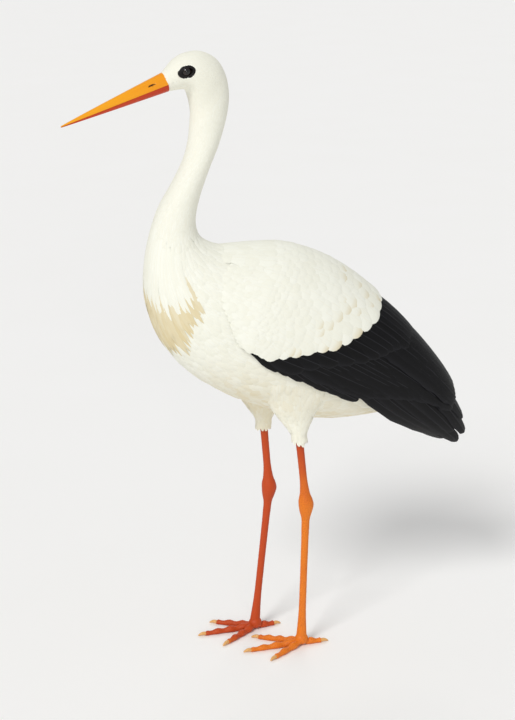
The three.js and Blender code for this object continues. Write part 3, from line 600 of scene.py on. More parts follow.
def clear_of_face(shape, roots, tips):
    """True for feathers that don't cross the bare skin round the eyes or the corner of the mouth."""
    keep = np.ones(len(roots), bool)
    for t in (0, 0.15, 0.35, 0.7, 1):
        place = roots + (tips - roots) * t
        x, y, z = np.moveaxis(to_head(shape(place[:, 0], place[:, 1], 0.0)), -1, 0)
        from_eye = (((x - EYE["behind"] + BARE["ahead"]) / BARE["long"]) ** 2
                    + ((z - EYE["above"]) / BARE["high"]) ** 2)
        if t > 0:  # a root may hide under the rim of the lids
            keep &= (from_eye > 1) | (np.abs(y) < BARE["aside"])
        gape = (np.abs(z - MOUTH["level"]) < MOUTH["open"]) & (x < MOUTH["behind"])
        keep &= ~gape | (np.abs(y) < MOUTH["aside"])
    return keep


def risen(outline, root, knee, tip, press=0.0):
    """Lifts of feathers that leave the skin at their roots and then lie almost flat: their height at the
    root, where they come to lie on the coat, and at the tip, and how far the tip is pressed down on the
    next."""
    t = outline[:, 0]
    out = np.clip(t / 0.3, 0, 1)
    out = out * out * (3 - 2 * out)
    dip = np.clip((t - 0.8) / 0.2, 0, 1) ** 1.5
    return (root[:, None] + (knee - root)[:, None] * out + (tip - knee)[:, None] * t
            - np.broadcast_to(press, len(root))[:, None] * dip)


def body_coat(stations, pitch, length, width, outline, columns, rise, press, spread=5.0, apart=0.0, **more):
    """Feathers over the trunk at the given stations. rise is the height that a feather gains over the next,
    and press how far its tip bends down again, as shares of the coat's depth."""
    roots = ranks(trunk, stations, pitch, apart=apart)
    size = random.normal(1, 0.1, len(roots))
    lengths = np.interp(roots[:, 0], stations, np.broadcast_to(length, len(stations))) * size
    widths = np.interp(roots[:, 0], stations, np.broadcast_to(width, len(stations))) * size
    tips = headed(trunk, roots, lengths, random.normal(0, spread, len(roots)))
    depth = coat_depth(roots[:, 0])
    level = -depth * random.uniform(0.1, 0.2, len(roots))
    lift = risen(outline, -depth - 0.3, level - rise * depth, level, press * depth)
    return roots, tips, widths, lift, dict(outline=outline, columns=columns, **more)


def laid(coat, keep=slice(None), **more):
    """The feathers of a coat, or those of them to keep, on the trunk."""
    roots, tips, widths, lift, settings = coat
    return vanes(trunk, roots[keep], tips[keep], widths[keep], lift=lift[keep], **settings, **more)


# The head: feathers 3 to 4 mm wide from the bill's root over crown and throat.
stations = np.arange(-1.5, 92, 1.1)
coat = body_coat(stations, 1.9, np.interp(stations, [0, 20, 92], [5.0, 7.0, 10.0]),
                 np.interp(stations, [0, 20, 92], [3.3, 3.8, 4.2]), SMALL, 3, rise=0.2, press=0.26,
                 spread=6.0, apart=1.15, thickness=0.09, camber=0.12)
head_feathers = laid(coat, clear_of_face(trunk, coat[0], coat[1]))
finish(plumage("head_plumage", [head_feathers], white_barbs, trunk_unwrap), "white_plumage")

# The neck: narrow, hair-like feathers.
stations = np.arange(90, 300, 3.0)
coat = body_coat(stations, np.interp(stations, [90, 300], [2.6, 4.2]),
                 np.interp(stations, [90, 180, 300], [10, 14, 22]),
                 np.interp(stations, [90, 180, 300], [4.0, 5.2, 8.0]), HAIRY, 3, rise=0.26, press=0.2,
                 spread=4.0, thickness=0.16, camber=0.1)
finish(plumage("neck_plumage", [laid(coat)], white_barbs, trunk_unwrap), "white_plumage")


# The bib: degrees from the belly line, where the white plumes of the neck end, and where the cream ones end.
BIB = np.array([(0, 362, 426), (15, 367, 431), (30, 386, 438), (50, 397, 434), (72, 407, 426),
                (85, 404, 416)], float)
BIB_ASIDE, BIB_OVERLAP = 76, 38


def from_belly(roots):
    """Degrees round the trunk from the belly line."""
    return np.abs(((roots[:, 1] + 180) % 360) - 90)


def bib_ends(aside):
    """Where the white plumes and the cream ones end, at degrees from the belly line."""
    return [np.interp(aside, BIB[:, 0], BIB[:, k]) for k in (1, 2)]


def trunk_painted_shade(roots):
    """How much cream is painted at each root as painted shade: along the underside of the belly and beneath
    the plumes of the breast."""
    aside = from_belly(roots)
    white_end, cream_end = bib_ends(aside)
    # Painted shade: cream along the underside of the belly, and beneath the hanging plumes of the breast.
    soil_and_shade = (np.clip((80 - aside) / 50, 0, 1) * np.clip((roots[:, 0] - 440) / 80, 0, 1)
              * random.uniform(0.2, 0.6, len(roots)))
    bib = (aside < BIB_ASIDE) & (roots[:, 0] > white_end - 20) & (roots[:, 0] < cream_end - BIB_OVERLAP)
    return np.maximum(soil_and_shade, 0.9 * bib)


def under_plumes(roots):
    """1 for feathers that lie wholly under the plumes of the breast, and 0 for the others."""
    aside = from_belly(roots)
    return ((aside < BIB_ASIDE + 1) & (roots[:, 0] < bib_ends(aside)[1] - BIB_OVERLAP)) * 1.0


# The breast, back and belly: broad rounded feathers. Those under the plumes of the breast lie deeper.
SUNK = 1.7
for name, first, last in (("breast_plumage", 296, 500), ("body_plumage", 490, RUMP + 8)):
    stations = np.arange(first, last, 7.5)
    roots, tips, widths, lift, settings = body_coat(
        stations, np.interp(stations, [296, 400, 600], [5.5, 8.5, 10.0]),
        np.interp(stations, [296, 400, 560, RUMP], [24, 34, 40, 44]),
        np.interp(stations, [296, 400, 600], [9.5, 16, 20]), ROUND, 5, rise=0.42, press=0.14, spread=4.0,
        thickness=0.25, camber=0.14)
    lift = lift - SUNK * under_plumes(roots)[:, None]
    group = laid((roots, tips, widths, lift, settings), tint=trunk_painted_shade(roots)[:, None])
    finish(plumage(name, [group], white_barbs, trunk_unwrap), "white_plumage")

# The plumes of the lower neck: long pointed feathers that hang over the breast. White ones lie over cream
# ones, whose cream is painted shade beneath the white ones, and both end in a ragged line. Each tier has its
# place from the white tips (0) to the cream ones (1), how far it ends above that, its count, length and
# height, and how much painted shade it takes.
PLUME = np.array([(0, 0.3), (0.1, 0.75), (0.25, 1.0), (0.42, 0.95), (0.58, 0.8), (0.72, 0.6), (0.84, 0.4),
                  (0.93, 0.22), (1, 0.05)])
plumes = []
for share, above, count, reach, high, stain_and_shade in (
        (1.0, 0, 38, 66, 1.8, 1.0), (0.66, 0, 37, 66, 2.0, 0.95), (0.33, 0, 36, 68, 2.2, 0.9),
        (0.0, 0, 38, 72, 2.3, 0.0), (0.0, 15, 38, 72, 2.4, 0.0), (0.0, 30, 38, 66, 2.2, 0.0)):
    aside = np.linspace(-80, 80, count) + random.uniform(-1.5, 1.5, count)
    white_end, cream_end = bib_ends(np.abs(aside))
    ends = white_end + (cream_end - white_end) * share - above + random.normal(0, 3.0, count)
    tips = np.column_stack([ends, aside - 90])
    roots = np.column_stack([ends - reach * random.uniform(0.9, 1.1, count),
                             aside * 1.06 - 90 + random.normal(0, 1.2, count)])
    lift = risen(PLUME, -coat_depth(roots[:, 0]), np.full(count, high - 3.2),
                 high - 1.5 + random.uniform(-0.4, 0.4, count), 0.6)
    # The cream of the tiers that end lowest is painted shade beneath the white tiers hanging over them.
    tint = stain_and_shade * np.clip((PLUME[:, 0] - 0.2) / 0.2, 0, 1) * random.uniform(0.75, 1.0, count)[:, None]
    plumes.append(vanes(trunk, roots, tips, random.uniform(12, 15, count), PLUME, lift, columns=5, camber=0.1,
                        thickness=0.3, sweep=random.normal(0, 0.015, count), tint=tint))
finish(plumage("breast_plumes", plumes, white_barbs, trunk_unwrap), "white_plumage")


def thigh_unwrap(root):
    """A thigh slit along its inner line."""
    across, up = (root[:, 0] + 32) / 150, ((root[:, 1] + 180) % 360) / 360
    return np.column_stack([0.05 + 0.9 * across, 0.02 + 0.96 * up])


# The thighs: soft feathers that hang down and end raggedly over the bare leg. They carry cream painted
# shade, most on the far thigh and at the top of each thigh, under the belly.
for side, name, soil_and_shade in ((LEFT, "left", 0.35), (RIGHT, "right", 1.0)):
    shape = thigh(side)
    drop = LEGS[side]["hip"][1] - LEGS[side]["knee"][1]
    stations = np.arange(-28, drop - 2, 5.0)
    roots = ranks(shape, stations, np.interp(stations, [0, drop], [7.0, 4.0]), -180, 180)
    size = random.normal(1, 0.14, len(roots))
    length = np.interp(roots[:, 0], [0, 50, drop], [30, 24, 15]) * size
    tips = headed(shape, roots, length, random.normal(0, 6, len(roots)))
    raised = np.interp(roots[:, 0], [-30, -5, 20], [1.2, 1.0, 0])
    lift = np.column_stack([np.full(len(roots), -4.2), random.uniform(-1.6, -0.6, len(roots)) + raised])
    # Painted shade in cream, strongest on the far thigh and at the top of each thigh.
    stain_and_shade = (soil_and_shade * np.interp(roots[:, 0], [0, 25, 50, drop], [0.9, 0.6, 0.4, 0.5])
             * random.uniform(0.5, 1.0, len(roots)))
    group = vanes(shape, roots, tips, np.interp(roots[:, 0], [0, drop], [13, 6.5]) * size, ROUND, lift,
                  columns=3, camber=0.2, thickness=0.3, tint=stain_and_shade[:, None])
    finish(plumage(f"thigh_plumage_{name}", [group], white_barbs, thigh_unwrap), "white_plumage")

# ------------------------------------------------------------------------------------ wings
# The folded wings: white coverts in ranks over the arm, then black greater coverts, tertials, secondaries and
# primaries. Each vane has a raised shaft, and its lower edge lies over the next feather down.

FRONT = np.array([(-30, 178), (-12, 106), (-3, 84), (10, 54), (30, 34), (50, 34), (86, 58)], float)
BAND = np.array([(-30, 190), (-20, 158), (-12, 156), (0, 204), (12, 244), (22, 264), (44, 296), (69, 302),
                 (86, 304)], float)
HAND_FOOT, ARM_FOOT, WING_TOP = -21, -13.4, 86
CORE = {"rim": -4.5, "under": -6.0}
FLIGHT = np.array([(0, 0.3), (0.04, 0.42), (0.1, 0.6), (0.17, 0.76), (0.25, 0.88), (0.33, 0.95), (0.41, 0.99),
                   (0.5, 1.0), (0.6, 1.0), (0.7, 0.99), (0.78, 0.97), (0.85, 0.93), (0.9, 0.86), (0.94, 0.75),
                   (0.97, 0.58), (0.99, 0.36), (1, 0.12)])
COVERT = np.array([(0, 0.3), (0.18, 0.68), (0.38, 0.92), (0.58, 1.0), (0.74, 0.97), (0.86, 0.84),
                   (0.94, 0.62), (0.985, 0.36), (1, 0.14)])

# The tiers of long feathers: how many, the roots and tips of the first and the last, their width and lift.
FLIGHT_TIERS = {
    "primaries": (7, [(235, 4), (325, 46)],
                  [(527, -53), (518, -42), (558, -33), (530, -14), (558, 8), (538, 32), (508, 52)],
                  27, (0.2, 0.4), {"tilt": 0.12}),
    "secondaries": (12, [(168, -11), (290, 22)], [(352, -14), (505, 20)], 33, (1.0, 3.6), {"tilt": 0.12}),
    "tertials": (8, [(270, 26), (312, 81)], [(502, 32), (488, 82)], 38, (1.8, 6.4), {"tilt": 0.10}),
    "hand coverts": (7, [(112, -13.5), (225, -16)], [(178, -22), (330, -24)], 20, (0.6, 2.6),
                     {"outline": COVERT, "tilt": 0.06}),
    "greater coverts": (16, (-14, -14), (58, 88), 33, (1.6, 5.6),
                        {"outline": COVERT, "foot": -14, "tilt": 0.08}),
}

# Black feather keratin: melanin makes the barbs hard and smooth, so the black keeps a low satin sheen.
black_barbs = feather_material("black feather keratin", "#060607", "#0d0d10", "#222226", "#2a2a2e",
                               roughness=0.45, gloss=0.16, barb_depth=0.35)


def wing(side):
    """The surface of a folded wing."""
    def shape(along, angle, lift):
        return oval(WING, along, angle, lift, side)

    return shape


def wing_unwrap(root):
    """A wing opened out flat."""
    return inset(root[:, 0] / 620, (root[:, 1] + 60) / 160)


def edge_of(line, angles):
    """Where a line across the wing lies at each angle."""
    return np.interp(angles, line[:, 0], line[:, 1])


def wing_core(name, shape, angles, start, stop, lifts, material):
    """The feathered limb under the coverts, between two lines: a closed sheet, thick in its middle and thin
    at its rim. lifts are its height at those lines."""
    foot, angles = angles[0], angles[None]
    t = np.linspace(0, 1, 31)[:, None]
    along = start + (stop - start) * t
    rim = np.minimum(t / 0.12, np.minimum((angles - foot + 0.5) / 9, (WING_TOP + 0.5 - angles) / 8))
    rim = np.clip(rim, 0, 1)
    lift = lifts[0] + (lifts[1] - lifts[0]) * t
    top = shape(along, angles, CORE["rim"] + (lift - CORE["rim"]) * np.sqrt(rim))
    under = shape(along, angles, CORE["under"])
    rows, columns = top.shape[:2]
    points = np.concatenate([top.reshape(-1, 3), under.reshape(-1, 3)])
    grid = np.arange(rows * columns).reshape(rows, columns)
    quads = np.stack([grid[:-1, :-1], grid[:-1, 1:], grid[1:, 1:], grid[1:, :-1]], -1).reshape(-1, 4)
    rim_line = np.concatenate([grid[0, :-1], grid[:-1, -1], grid[-1, :0:-1], grid[:0:-1, 0]])
    after = np.roll(rim_line, -1)
    walls = np.stack([after, rim_line, rim_line + grid.size, after + grid.size], -1)
    flat = np.stack(np.broadcast_arrays(along, angles), -1).reshape(-1, 2)
    bake = np.tile(wing_unwrap(flat), (2, 1))
    blank = np.zeros(len(points))
    return built(name, points, [np.concatenate([quads, quads[:, ::-1] + grid.size, walls])], material,
                 {"OFBake": bake, "vane": bake * 0.1}, {"tint": blank, "shade": blank})


def band_place(foot, share, behind):
    """Places along the edge of the white coverts, from the front of the wing to the back."""
    angle = foot + (WING_TOP - 3 - foot) * share
    return np.column_stack([edge_of(BAND, angle) + behind, angle])


def tier(shape, count, root, tip, width, lift, outline=FLIGHT, foot=None, **more):
    """A tier of long feathers between its first and last, with small differences. With a foot it follows the
    edge of the coverts from that angle up, and root and tip are distances behind the edge."""
    share = np.linspace(0, 1, count)
    root, tip = np.array(root, float), np.array(tip, float)
    starts = root[0] + (root[-1] - root[0]) * (share if foot is not None else share[:, None])
    if foot is not None:
        starts = band_place(foot, share, starts)
        ends = band_place(foot, share, tip[0] + (tip[-1] - tip[0]) * share)
    elif len(tip) == count:
        ends = tip
    else:
        ends = tip[0] + (tip[-1] - tip[0]) * share[:, None]
    ends = ends + random.normal(0, 1, (count, 2)) * [2.0, 0.4]
    lift = np.tile(np.asarray(lift, float), (count, 1))
    return vanes(shape, starts, ends, width * random.uniform(0.96, 1.04, count), outline, lift, columns=7,
                 ridge=0.35, camber=0.1, thickness=0.3, fringe=0.6, **more)


def scale_rows(shape, first, last, angles, exposed, drift, level, stain_and_shade):
    """White coverts laid like tiles between two lines, in staggered rows that grow from first to last.
    exposed is how much of a feather shows, at the first row and at the last. drift turns the feathers, level
    gives their height by their place, and stain_and_shade is the share of the last rows whose tips are
    stained."""
    groups = []
    spans = np.maximum((last - first).max(), 1)
    share, k = 0.0, 0
    while share < 1:
        shown = exposed[0] + (exposed[1] - exposed[0]) * share
        share = min(1.0, share + shown / spans)
        if 1 - share < 0.4 * shown / spans:  # no room for one more row
            share = 1.0
        shown = exposed[0] + (exposed[1] - exposed[0]) * share
        tips_at = first + share * (last - first)
        line = shape(tips_at, angles, 4.0)
        run = np.concatenate([[0], np.cumsum(np.linalg.norm(np.diff(line, axis=0), axis=1))])
        breadth = 1.55 * shown + 9
        count = max(2, round(run[-1] / (breadth * 0.56)))
        at = (np.arange(count) + 0.25 + 0.5 * (k % 2) + random.uniform(-0.07, 0.07, count)) * run[-1] / count
        angle = np.interp(at, run, angles)
        low, high = np.interp(angle, angles, first), np.interp(angle, angles, last)
        room = np.clip((high - low) / spans, 0.45, 1)
        tip_at = np.interp(angle, angles, tips_at) + random.normal(0, 0.9, count)
        length = 3.1 * shown * room ** 0.5 * random.normal(1, 0.05, count)
        slope = drift * length / 40
        roots = np.column_stack([np.maximum(tip_at - length, low - 8), angle + slope / 2])
        tips = np.column_stack([tip_at, angle - slope / 2])
        here = (level(share, angle) + random.uniform(-0.2, 0.2, count))[:, None]
        t = COVERT[:, 0]
        lift = here - 2.8 * (1 - eased(t)) - 0.7 * np.clip((t - 0.82) / 0.18, 0, 1) ** 1.5
        marked = (random.uniform(0, 1, count) < stain_and_shade * (share > 0.72))[:, None]
        widths = breadth * room ** 0.4 * random.normal(1, 0.05, count)
        soil_and_shade = np.clip((t - 0.72) / 0.28, 0, 1) * marked * 0.75
        groups.append(vanes(shape, roots, tips, widths, COVERT, lift, columns=5, camber=0.1, tilt=0.03,
                            thickness=0.3, ragged=0.04, tint=soil_and_shade))
        k += 1
    return groups


def covert_level(share, angle):
    """The height of the wing's coverts, which rise from the body at its front edge, faster near its foot."""
    return (-3.2 + 9.5 * min(1, share / 0.32) ** 0.7
            + 2.4 * max(0, 1 - share / 0.3) * np.clip((24 - angle) / 24, 0, 1))


def mantle_level(share, angle):
    """The height of the mantle, which is highest along the ridge of the back."""
    return -3.5 + 11.0 * min(1, share / 0.35) ** 0.8 * (1 - 0.12 * np.abs(angle - 90) / 36)


for side, name in ((LEFT, "left"), (RIGHT, "right")):
    shape = wing(side)
    angles = np.linspace(ARM_FOOT, WING_TOP, 41)
    arm = wing_core(f"wing_arm_{name}", shape, angles, edge_of(FRONT, angles) + 2, edge_of(BAND, angles) - 10,
                    (2.6, 2.6), white_barbs)
    finish(arm, "white_plumage", f"wing_{name}")
    angles = np.linspace(HAND_FOOT, WING_TOP, 41)
    behind_arm = np.where(angles < ARM_FOOT, edge_of(FRONT, angles) + 14, edge_of(BAND, angles) - 10.5)
    hand = wing_core(f"wing_hand_{name}", shape, angles, behind_arm, edge_of(BAND, angles) + 60, (1.6, 0.0),
                     black_barbs)
    finish(hand, "black_plumage", f"flight_feathers_{name}")

    angles = np.linspace(ARM_FOOT, WING_TOP, 121)
    coverts = scale_rows(shape, edge_of(FRONT, angles) - 2, edge_of(BAND, angles) + 5, angles, (6.0, 19.0),
                         3.0, covert_level, 0.35)
    finish(plumage(f"wing_coverts_{name}", coverts, white_barbs, wing_unwrap), "white_plumage")
    flight = [tier(shape, *sizes, **more) for *sizes, more in FLIGHT_TIERS.values()]
    finish(plumage(f"flight_vanes_{name}", flight, black_barbs, wing_unwrap), "black_plumage")

# The mantle: broad feathers over the mid-back that close the gap between the wings and lie over both.
across_back = np.linspace(54, 126, 121)
fold = 90 - np.abs(across_back - 90)
mantle_end = np.minimum(edge_of(BAND, np.minimum(fold, WING_TOP)), 300) + 3
mantle = scale_rows(wing(RIGHT), 12 + 0 * fold, mantle_end, across_back, (11.0, 17.0), 0.0, mantle_level,
                    0.12)


def back_unwrap(root):
    """The back, opened out flat."""
    return inset(root[:, 0] / 320, (root[:, 1] - 40) / 100)


finish(plumage("mantle", mantle, white_barbs, back_unwrap), "white_plumage")

# ------------------------------------------------------------------------------------ tail
# Twelve short white tail feathers of keratin, square-ended. They fan a little from the rump, under six rows
# of coverts above and six below.

tail_root, tail_tip = (np.array([TAIL[end][0], 0, TAIL[end][1]]) for end in ("root", "tip"))
tail_length = np.linalg.norm(tail_tip - tail_root)
tail_axis = (tail_tip - tail_root) / tail_length
tail_up = np.array([-tail_axis[2], 0, tail_axis[0]])


def tail_plane(along, across, lift):
    """The tail's own surface, that droops a little to its sides."""
    along, across, lift = np.broadcast_arrays(along, across, lift)
    drop = 0.02 * np.abs(across)
    return (tail_root + along[..., None] * tail_axis + (lift - drop)[..., None] * tail_up
            + across[..., None] * np.array([0, 1.0, 0]))


def tail_unwrap(root):
    """The tail, laid flat."""
    return np.column_stack([0.14 + 0.76 * root[:, 0] / 130, 0.5 + root[:, 1] / 130])


tail_feathers = []
for i in range(6):
    for side in (LEFT, RIGHT):
        spread = math.radians(1.0 * (i + 0.45))
        reach = tail_length * (0.99 - 0.012 * i)
        start = np.array([[8.0, side * (1.5 + 2.4 * i)]])
        end = start + [[reach * math.cos(spread) - 8, side * reach * math.sin(spread)]]
        level = 5 - (2 * i + (side == RIGHT)) * 1.1
        tail_feathers.append(vanes(tail_plane, start, end, 25, FLIGHT, [[level, level]], columns=7,
                                   ridge=0.35, camber=0.05, thickness=0.3))
COVERT_LENGTH = 44
for level, tilt_up in ((11.0, 1), (-13.0, -1)):  # the coverts over and under the tail's root
    for row, start_at in enumerate((28, 18, 8, -2, -12, -22)):
        count = 8 + row % 2
        across = np.linspace(-27, 27, count) * (0.9 + 0.02 * row)
        roots = np.column_stack([np.full(count, float(start_at)), across * 0.85])
        tips = np.column_stack([start_at + COVERT_LENGTH * random.normal(1, 0.05, count), across])
        arch = 1 - (across / 38) ** 2
        lift = np.column_stack([(level - tilt_up * (sink - 0.9 * row)) * arch for sink in (7.6, 5.2)])
        tail_feathers.append(vanes(tail_plane, roots, tips, 13 * random.normal(1, 0.06, count), COVERT, lift,
                                   columns=5, camber=0.12 * tilt_up, thickness=0.3))
finish(plumage("tail_feathers", tail_feathers, white_barbs, tail_unwrap), "white_plumage", "tail")

# ------------------------------------------------------------------------------------ eyes and lids
# On each side a moist dark globe with a brown-black iris and a slightly bulging cornea. It lies in a ring of
# bare black skin that makes the two lids and runs into the face.

# A wet eye: the tear film is as smooth as glass, so the dark globe holds one sharp gleam and a dim room. The
# iris is so dark a brown that it hardly parts from the pupil.
eye_wet, tree, shader = new_material("wet eye")
spread = add(tree, "ShaderNodeAttribute", attribute_name="from_pupil").outputs["Fac"]
ramp = add(tree, "ShaderNodeValToRGB", {"Fac": spread})
stops = ramp.color_ramp
stops.elements[0].position, stops.elements[0].color = 0.30, linear("#020202")
stops.elements[1].position, stops.elements[1].color = 0.36, linear("#24150d")
for position, colour in ((0.55, "#180e09"), (0.62, "#040303")):
    stops.elements.new(position).color = linear(colour)
tree.links.new(ramp.outputs["Color"], shader.inputs["Base Color"])
shader.inputs["Roughness"].default_value = 0.04
shader.inputs["IOR"].default_value = 1.4
shader.inputs["Coat Weight"].default_value = 0.4
shader.inputs["Coat Roughness"].default_value = 0.03

# Bare orbital skin: black, leathery and finely pebbled, almost without gleam, so that the wet eye stands out.
bare_skin, tree, shader = new_material("bare orbital skin")
place = add(tree, "ShaderNodeTexCoord").outputs["Object"]
grain = add(tree, "ShaderNodeTexVoronoi", {"Vector": place, "Scale": 1400.0})
grain = grain.outputs["Distance"]
tone = add(tree, "ShaderNodeMix", {"Factor": grain, 6: linear("#0a0909"), 7: linear("#1b1817")},
           data_type="RGBA")
pebble = add(tree, "ShaderNodeBump", {"Height": grain, "Strength": 0.5, "Distance": 0.0003})
tree.links.new(tone.outputs[2], shader.inputs["Base Color"])
tree.links.new(pebble.outputs["Normal"], shader.inputs["Normal"])
shader.inputs["Roughness"].default_value = 0.55
shader.inputs["Specular IOR Level"].default_value = 0.22

CORNEA = {"radius": 5.6, "bulge": 0.5}
LIDS = {"open_long": 6.6, "open_high": 5.3, "reach_long": 12.8, "reach_high": 10.2, "thickness": 0.8,
        "wrinkle": 0.16, "clear": 0.25}


def face_at(side, x, z):
    """How far the head's own surface stands out to the side at a place beside the eye."""
    along, angle = np.meshgrid(np.linspace(2, 75, 60), np.linspace(-60, 60, 50), indexing="ij")
    face = trunk(along, angle if side == RIGHT else 180 - angle, -coat_depth(along))
    face_x, face_y, face_z = to_head(face).reshape(-1, 3).T
    out = np.empty(x.shape)
    for index in np.ndindex(x.shape):
        near = (face_x - EYE["behind"] - x[index]) ** 2 + (face_z - EYE["above"] - z[index]) ** 2
        best = np.argpartition(near, 4)[:4]
        weight = 1 / (near[best] + 0.05)
        out[index] = (np.abs(face_y[best]) * weight).sum() / weight.sum()
    return out


for side, name in ((LEFT, "left"), (RIGHT, "right")):
    polar = np.radians(np.linspace(0.5, 179.5, 60)[:, None])
    turn = np.radians(np.linspace(0, 360, 65)[None, :-1])
    off_axis = EYE["radius"] * np.sin(polar)
    reach = EYE["radius"] + np.where((polar < 1.57) & (off_axis < CORNEA["radius"]),
                                     CORNEA["bulge"] * (1 - (off_axis / CORNEA["radius"]) ** 2), 0)
    globe = np.stack(np.broadcast_arrays(
        EYE["behind"] + reach * np.sin(polar) * np.cos(turn),
        side * (EYE["aside"] + reach * np.cos(polar)) + 0 * turn,
        EYE["above"] + reach * np.sin(polar) * np.sin(turn)), -1)
    from_pupil = np.concatenate([(np.degrees(polar) / 90 + 0 * turn).ravel(), [0, 2]])
    eye = built(f"eyeball_{name}", *tube(from_head(globe)), eye_wet, values={"from_pupil": from_pupil})
    finish(eye, "eye", f"eye_{name}")

    # Each lid's margin rests on the globe, and its outer edge runs into the skin of the face.
    t = np.linspace(0, 1, 15)[:, None]
    almond = 1 + 0.10 * np.cos(turn) ** 4
    radius_x = LIDS["open_long"] + (LIDS["reach_long"] - LIDS["open_long"]) * t
    radius_z = LIDS["open_high"] + (LIDS["reach_high"] - LIDS["open_high"]) * t
    x = radius_x * almond * np.cos(turn) - 1.0 * t
    z = radius_z * np.sin(turn)
    on_globe = np.sqrt(np.maximum(EYE["radius"] ** 2 - x**2 - z**2, 0)) + EYE["aside"]

    rise = np.sqrt(np.clip(t / 0.22, 0, 1))
    crest = face_at(side, x, z) + np.interp(t, [0, 0.22, 0.6, 0.88, 1], [1.0, 1.0, 0.5, 0.15, -1.2])
    outward = (on_globe + LIDS["clear"]) * (1 - rise) + np.maximum(crest, on_globe + 0.4) * rise
    wrinkle = LIDS["wrinkle"] * np.sin(t * 26) * (t > 0.2) * (t < 0.9)
    outer = np.stack([EYE["behind"] + x, side * (outward + wrinkle), EYE["above"] + z], -1)
    inner = np.stack([EYE["behind"] + x, side * (outward - LIDS["thickness"]), EYE["above"] + z], -1)
    ring = from_head(np.concatenate([outer, inner[::-1]]))
    count, corners = ring.shape[:2]
    i, j = np.meshgrid(np.arange(count), np.arange(corners), indexing="ij")
    a = i * corners + j
    b = i * corners + (j + 1) % corners
    c, d = ((i + 1) % count) * corners + (j + 1) % corners, ((i + 1) % count) * corners + j
    lids = built(f"lids_{name}", ring.reshape(-1, 3), [np.stack([a, b, c, d], -1).reshape(-1, 4)], bare_skin)
    finish(lids, "black_plumage")

# ------------------------------------------------------------------------------------ bill
# Two horny sheaths over bone: orange above, redder below, hard and smooth, with fine lengthwise lines, a slit
# nostril on each side and a groove that runs forward from it.

BILL = {"length": 172, "culmen": 17.3, "keel": 11.6, "half_width": 12.4, "tip": 0.9, "ahead": 0.3,
        "parted": 0.15}
NOSTRIL = {"ahead": 24, "above": 5.6, "length": 13, "height": 1.3, "depth": 1.7, "groove": 0.45}


def horn(name, light, deep, streak):
    """Bill horn, grown forward in thin layers: hard and smooth with a soft gleam, finely streaked lengthwise,
    deeper in colour towards its root, and with painted shade, a dark brown, inside the nostrils."""
    made, tree, shader = new_material(name)
    place = add(tree, "ShaderNodeUVMap", uv_map="along").outputs["UV"]
    stretched = add(tree, "ShaderNodeMapping", {"Vector": place, "Scale": (3.0, 60.0, 1.0)})
    lines = add(tree, "ShaderNodeTexNoise", {"Vector": stretched.outputs[0], "Scale": 1.0, "Detail": 4.0})
    cloud = add(tree, "ShaderNodeTexNoise", {"Vector": place, "Scale": 3.0, "Detail": 3.0})
    ends = add(tree, "ShaderNodeSeparateXYZ", {"Vector": place})
    root = add(tree, "ShaderNodeMapRange", {"Value": ends.outputs["X"], 1: 0.0, 2: 0.5, 3: 1.0, 4: 0.0})
    fade = add(tree, "ShaderNodeMath", {0: root.outputs[0], 1: cloud.outputs["Fac"]}, operation="MULTIPLY")
    base = add(tree, "ShaderNodeMix", {"Factor": fade.outputs[0], 6: linear(light), 7: linear(deep)},
               data_type="RGBA")
    share = add(tree, "ShaderNodeMapRange", {"Value": lines.outputs["Fac"], 1: 0.5, 2: 0.8, 3: 0.0, 4: 0.5})
    lined = add(tree, "ShaderNodeMix", {"Factor": share.outputs[0], 6: base.outputs[2], 7: linear(streak)},
                data_type="RGBA")
    bump = add(tree, "ShaderNodeBump", {"Height": lines.outputs["Fac"], "Strength": 0.25, "Distance": 0.0004})
    # Painted shade inside the nostril slits.
    hollow = add(tree, "ShaderNodeAttribute", attribute_name="hollow").outputs["Fac"]
    shaded_nostril = add(tree, "ShaderNodeMix", {"Factor": hollow, 6: lined.outputs[2], 7: linear("#3a1a08")},
                 data_type="RGBA")
    tree.links.new(shaded_nostril.outputs[2], shader.inputs["Base Color"])
    tree.links.new(bump.outputs["Normal"], shader.inputs["Normal"])
    shader.inputs["Roughness"].default_value = 0.36
    shader.inputs["Specular IOR Level"].default_value = 0.32
    shader.inputs["Coat Weight"].default_value = 0.06
    return made


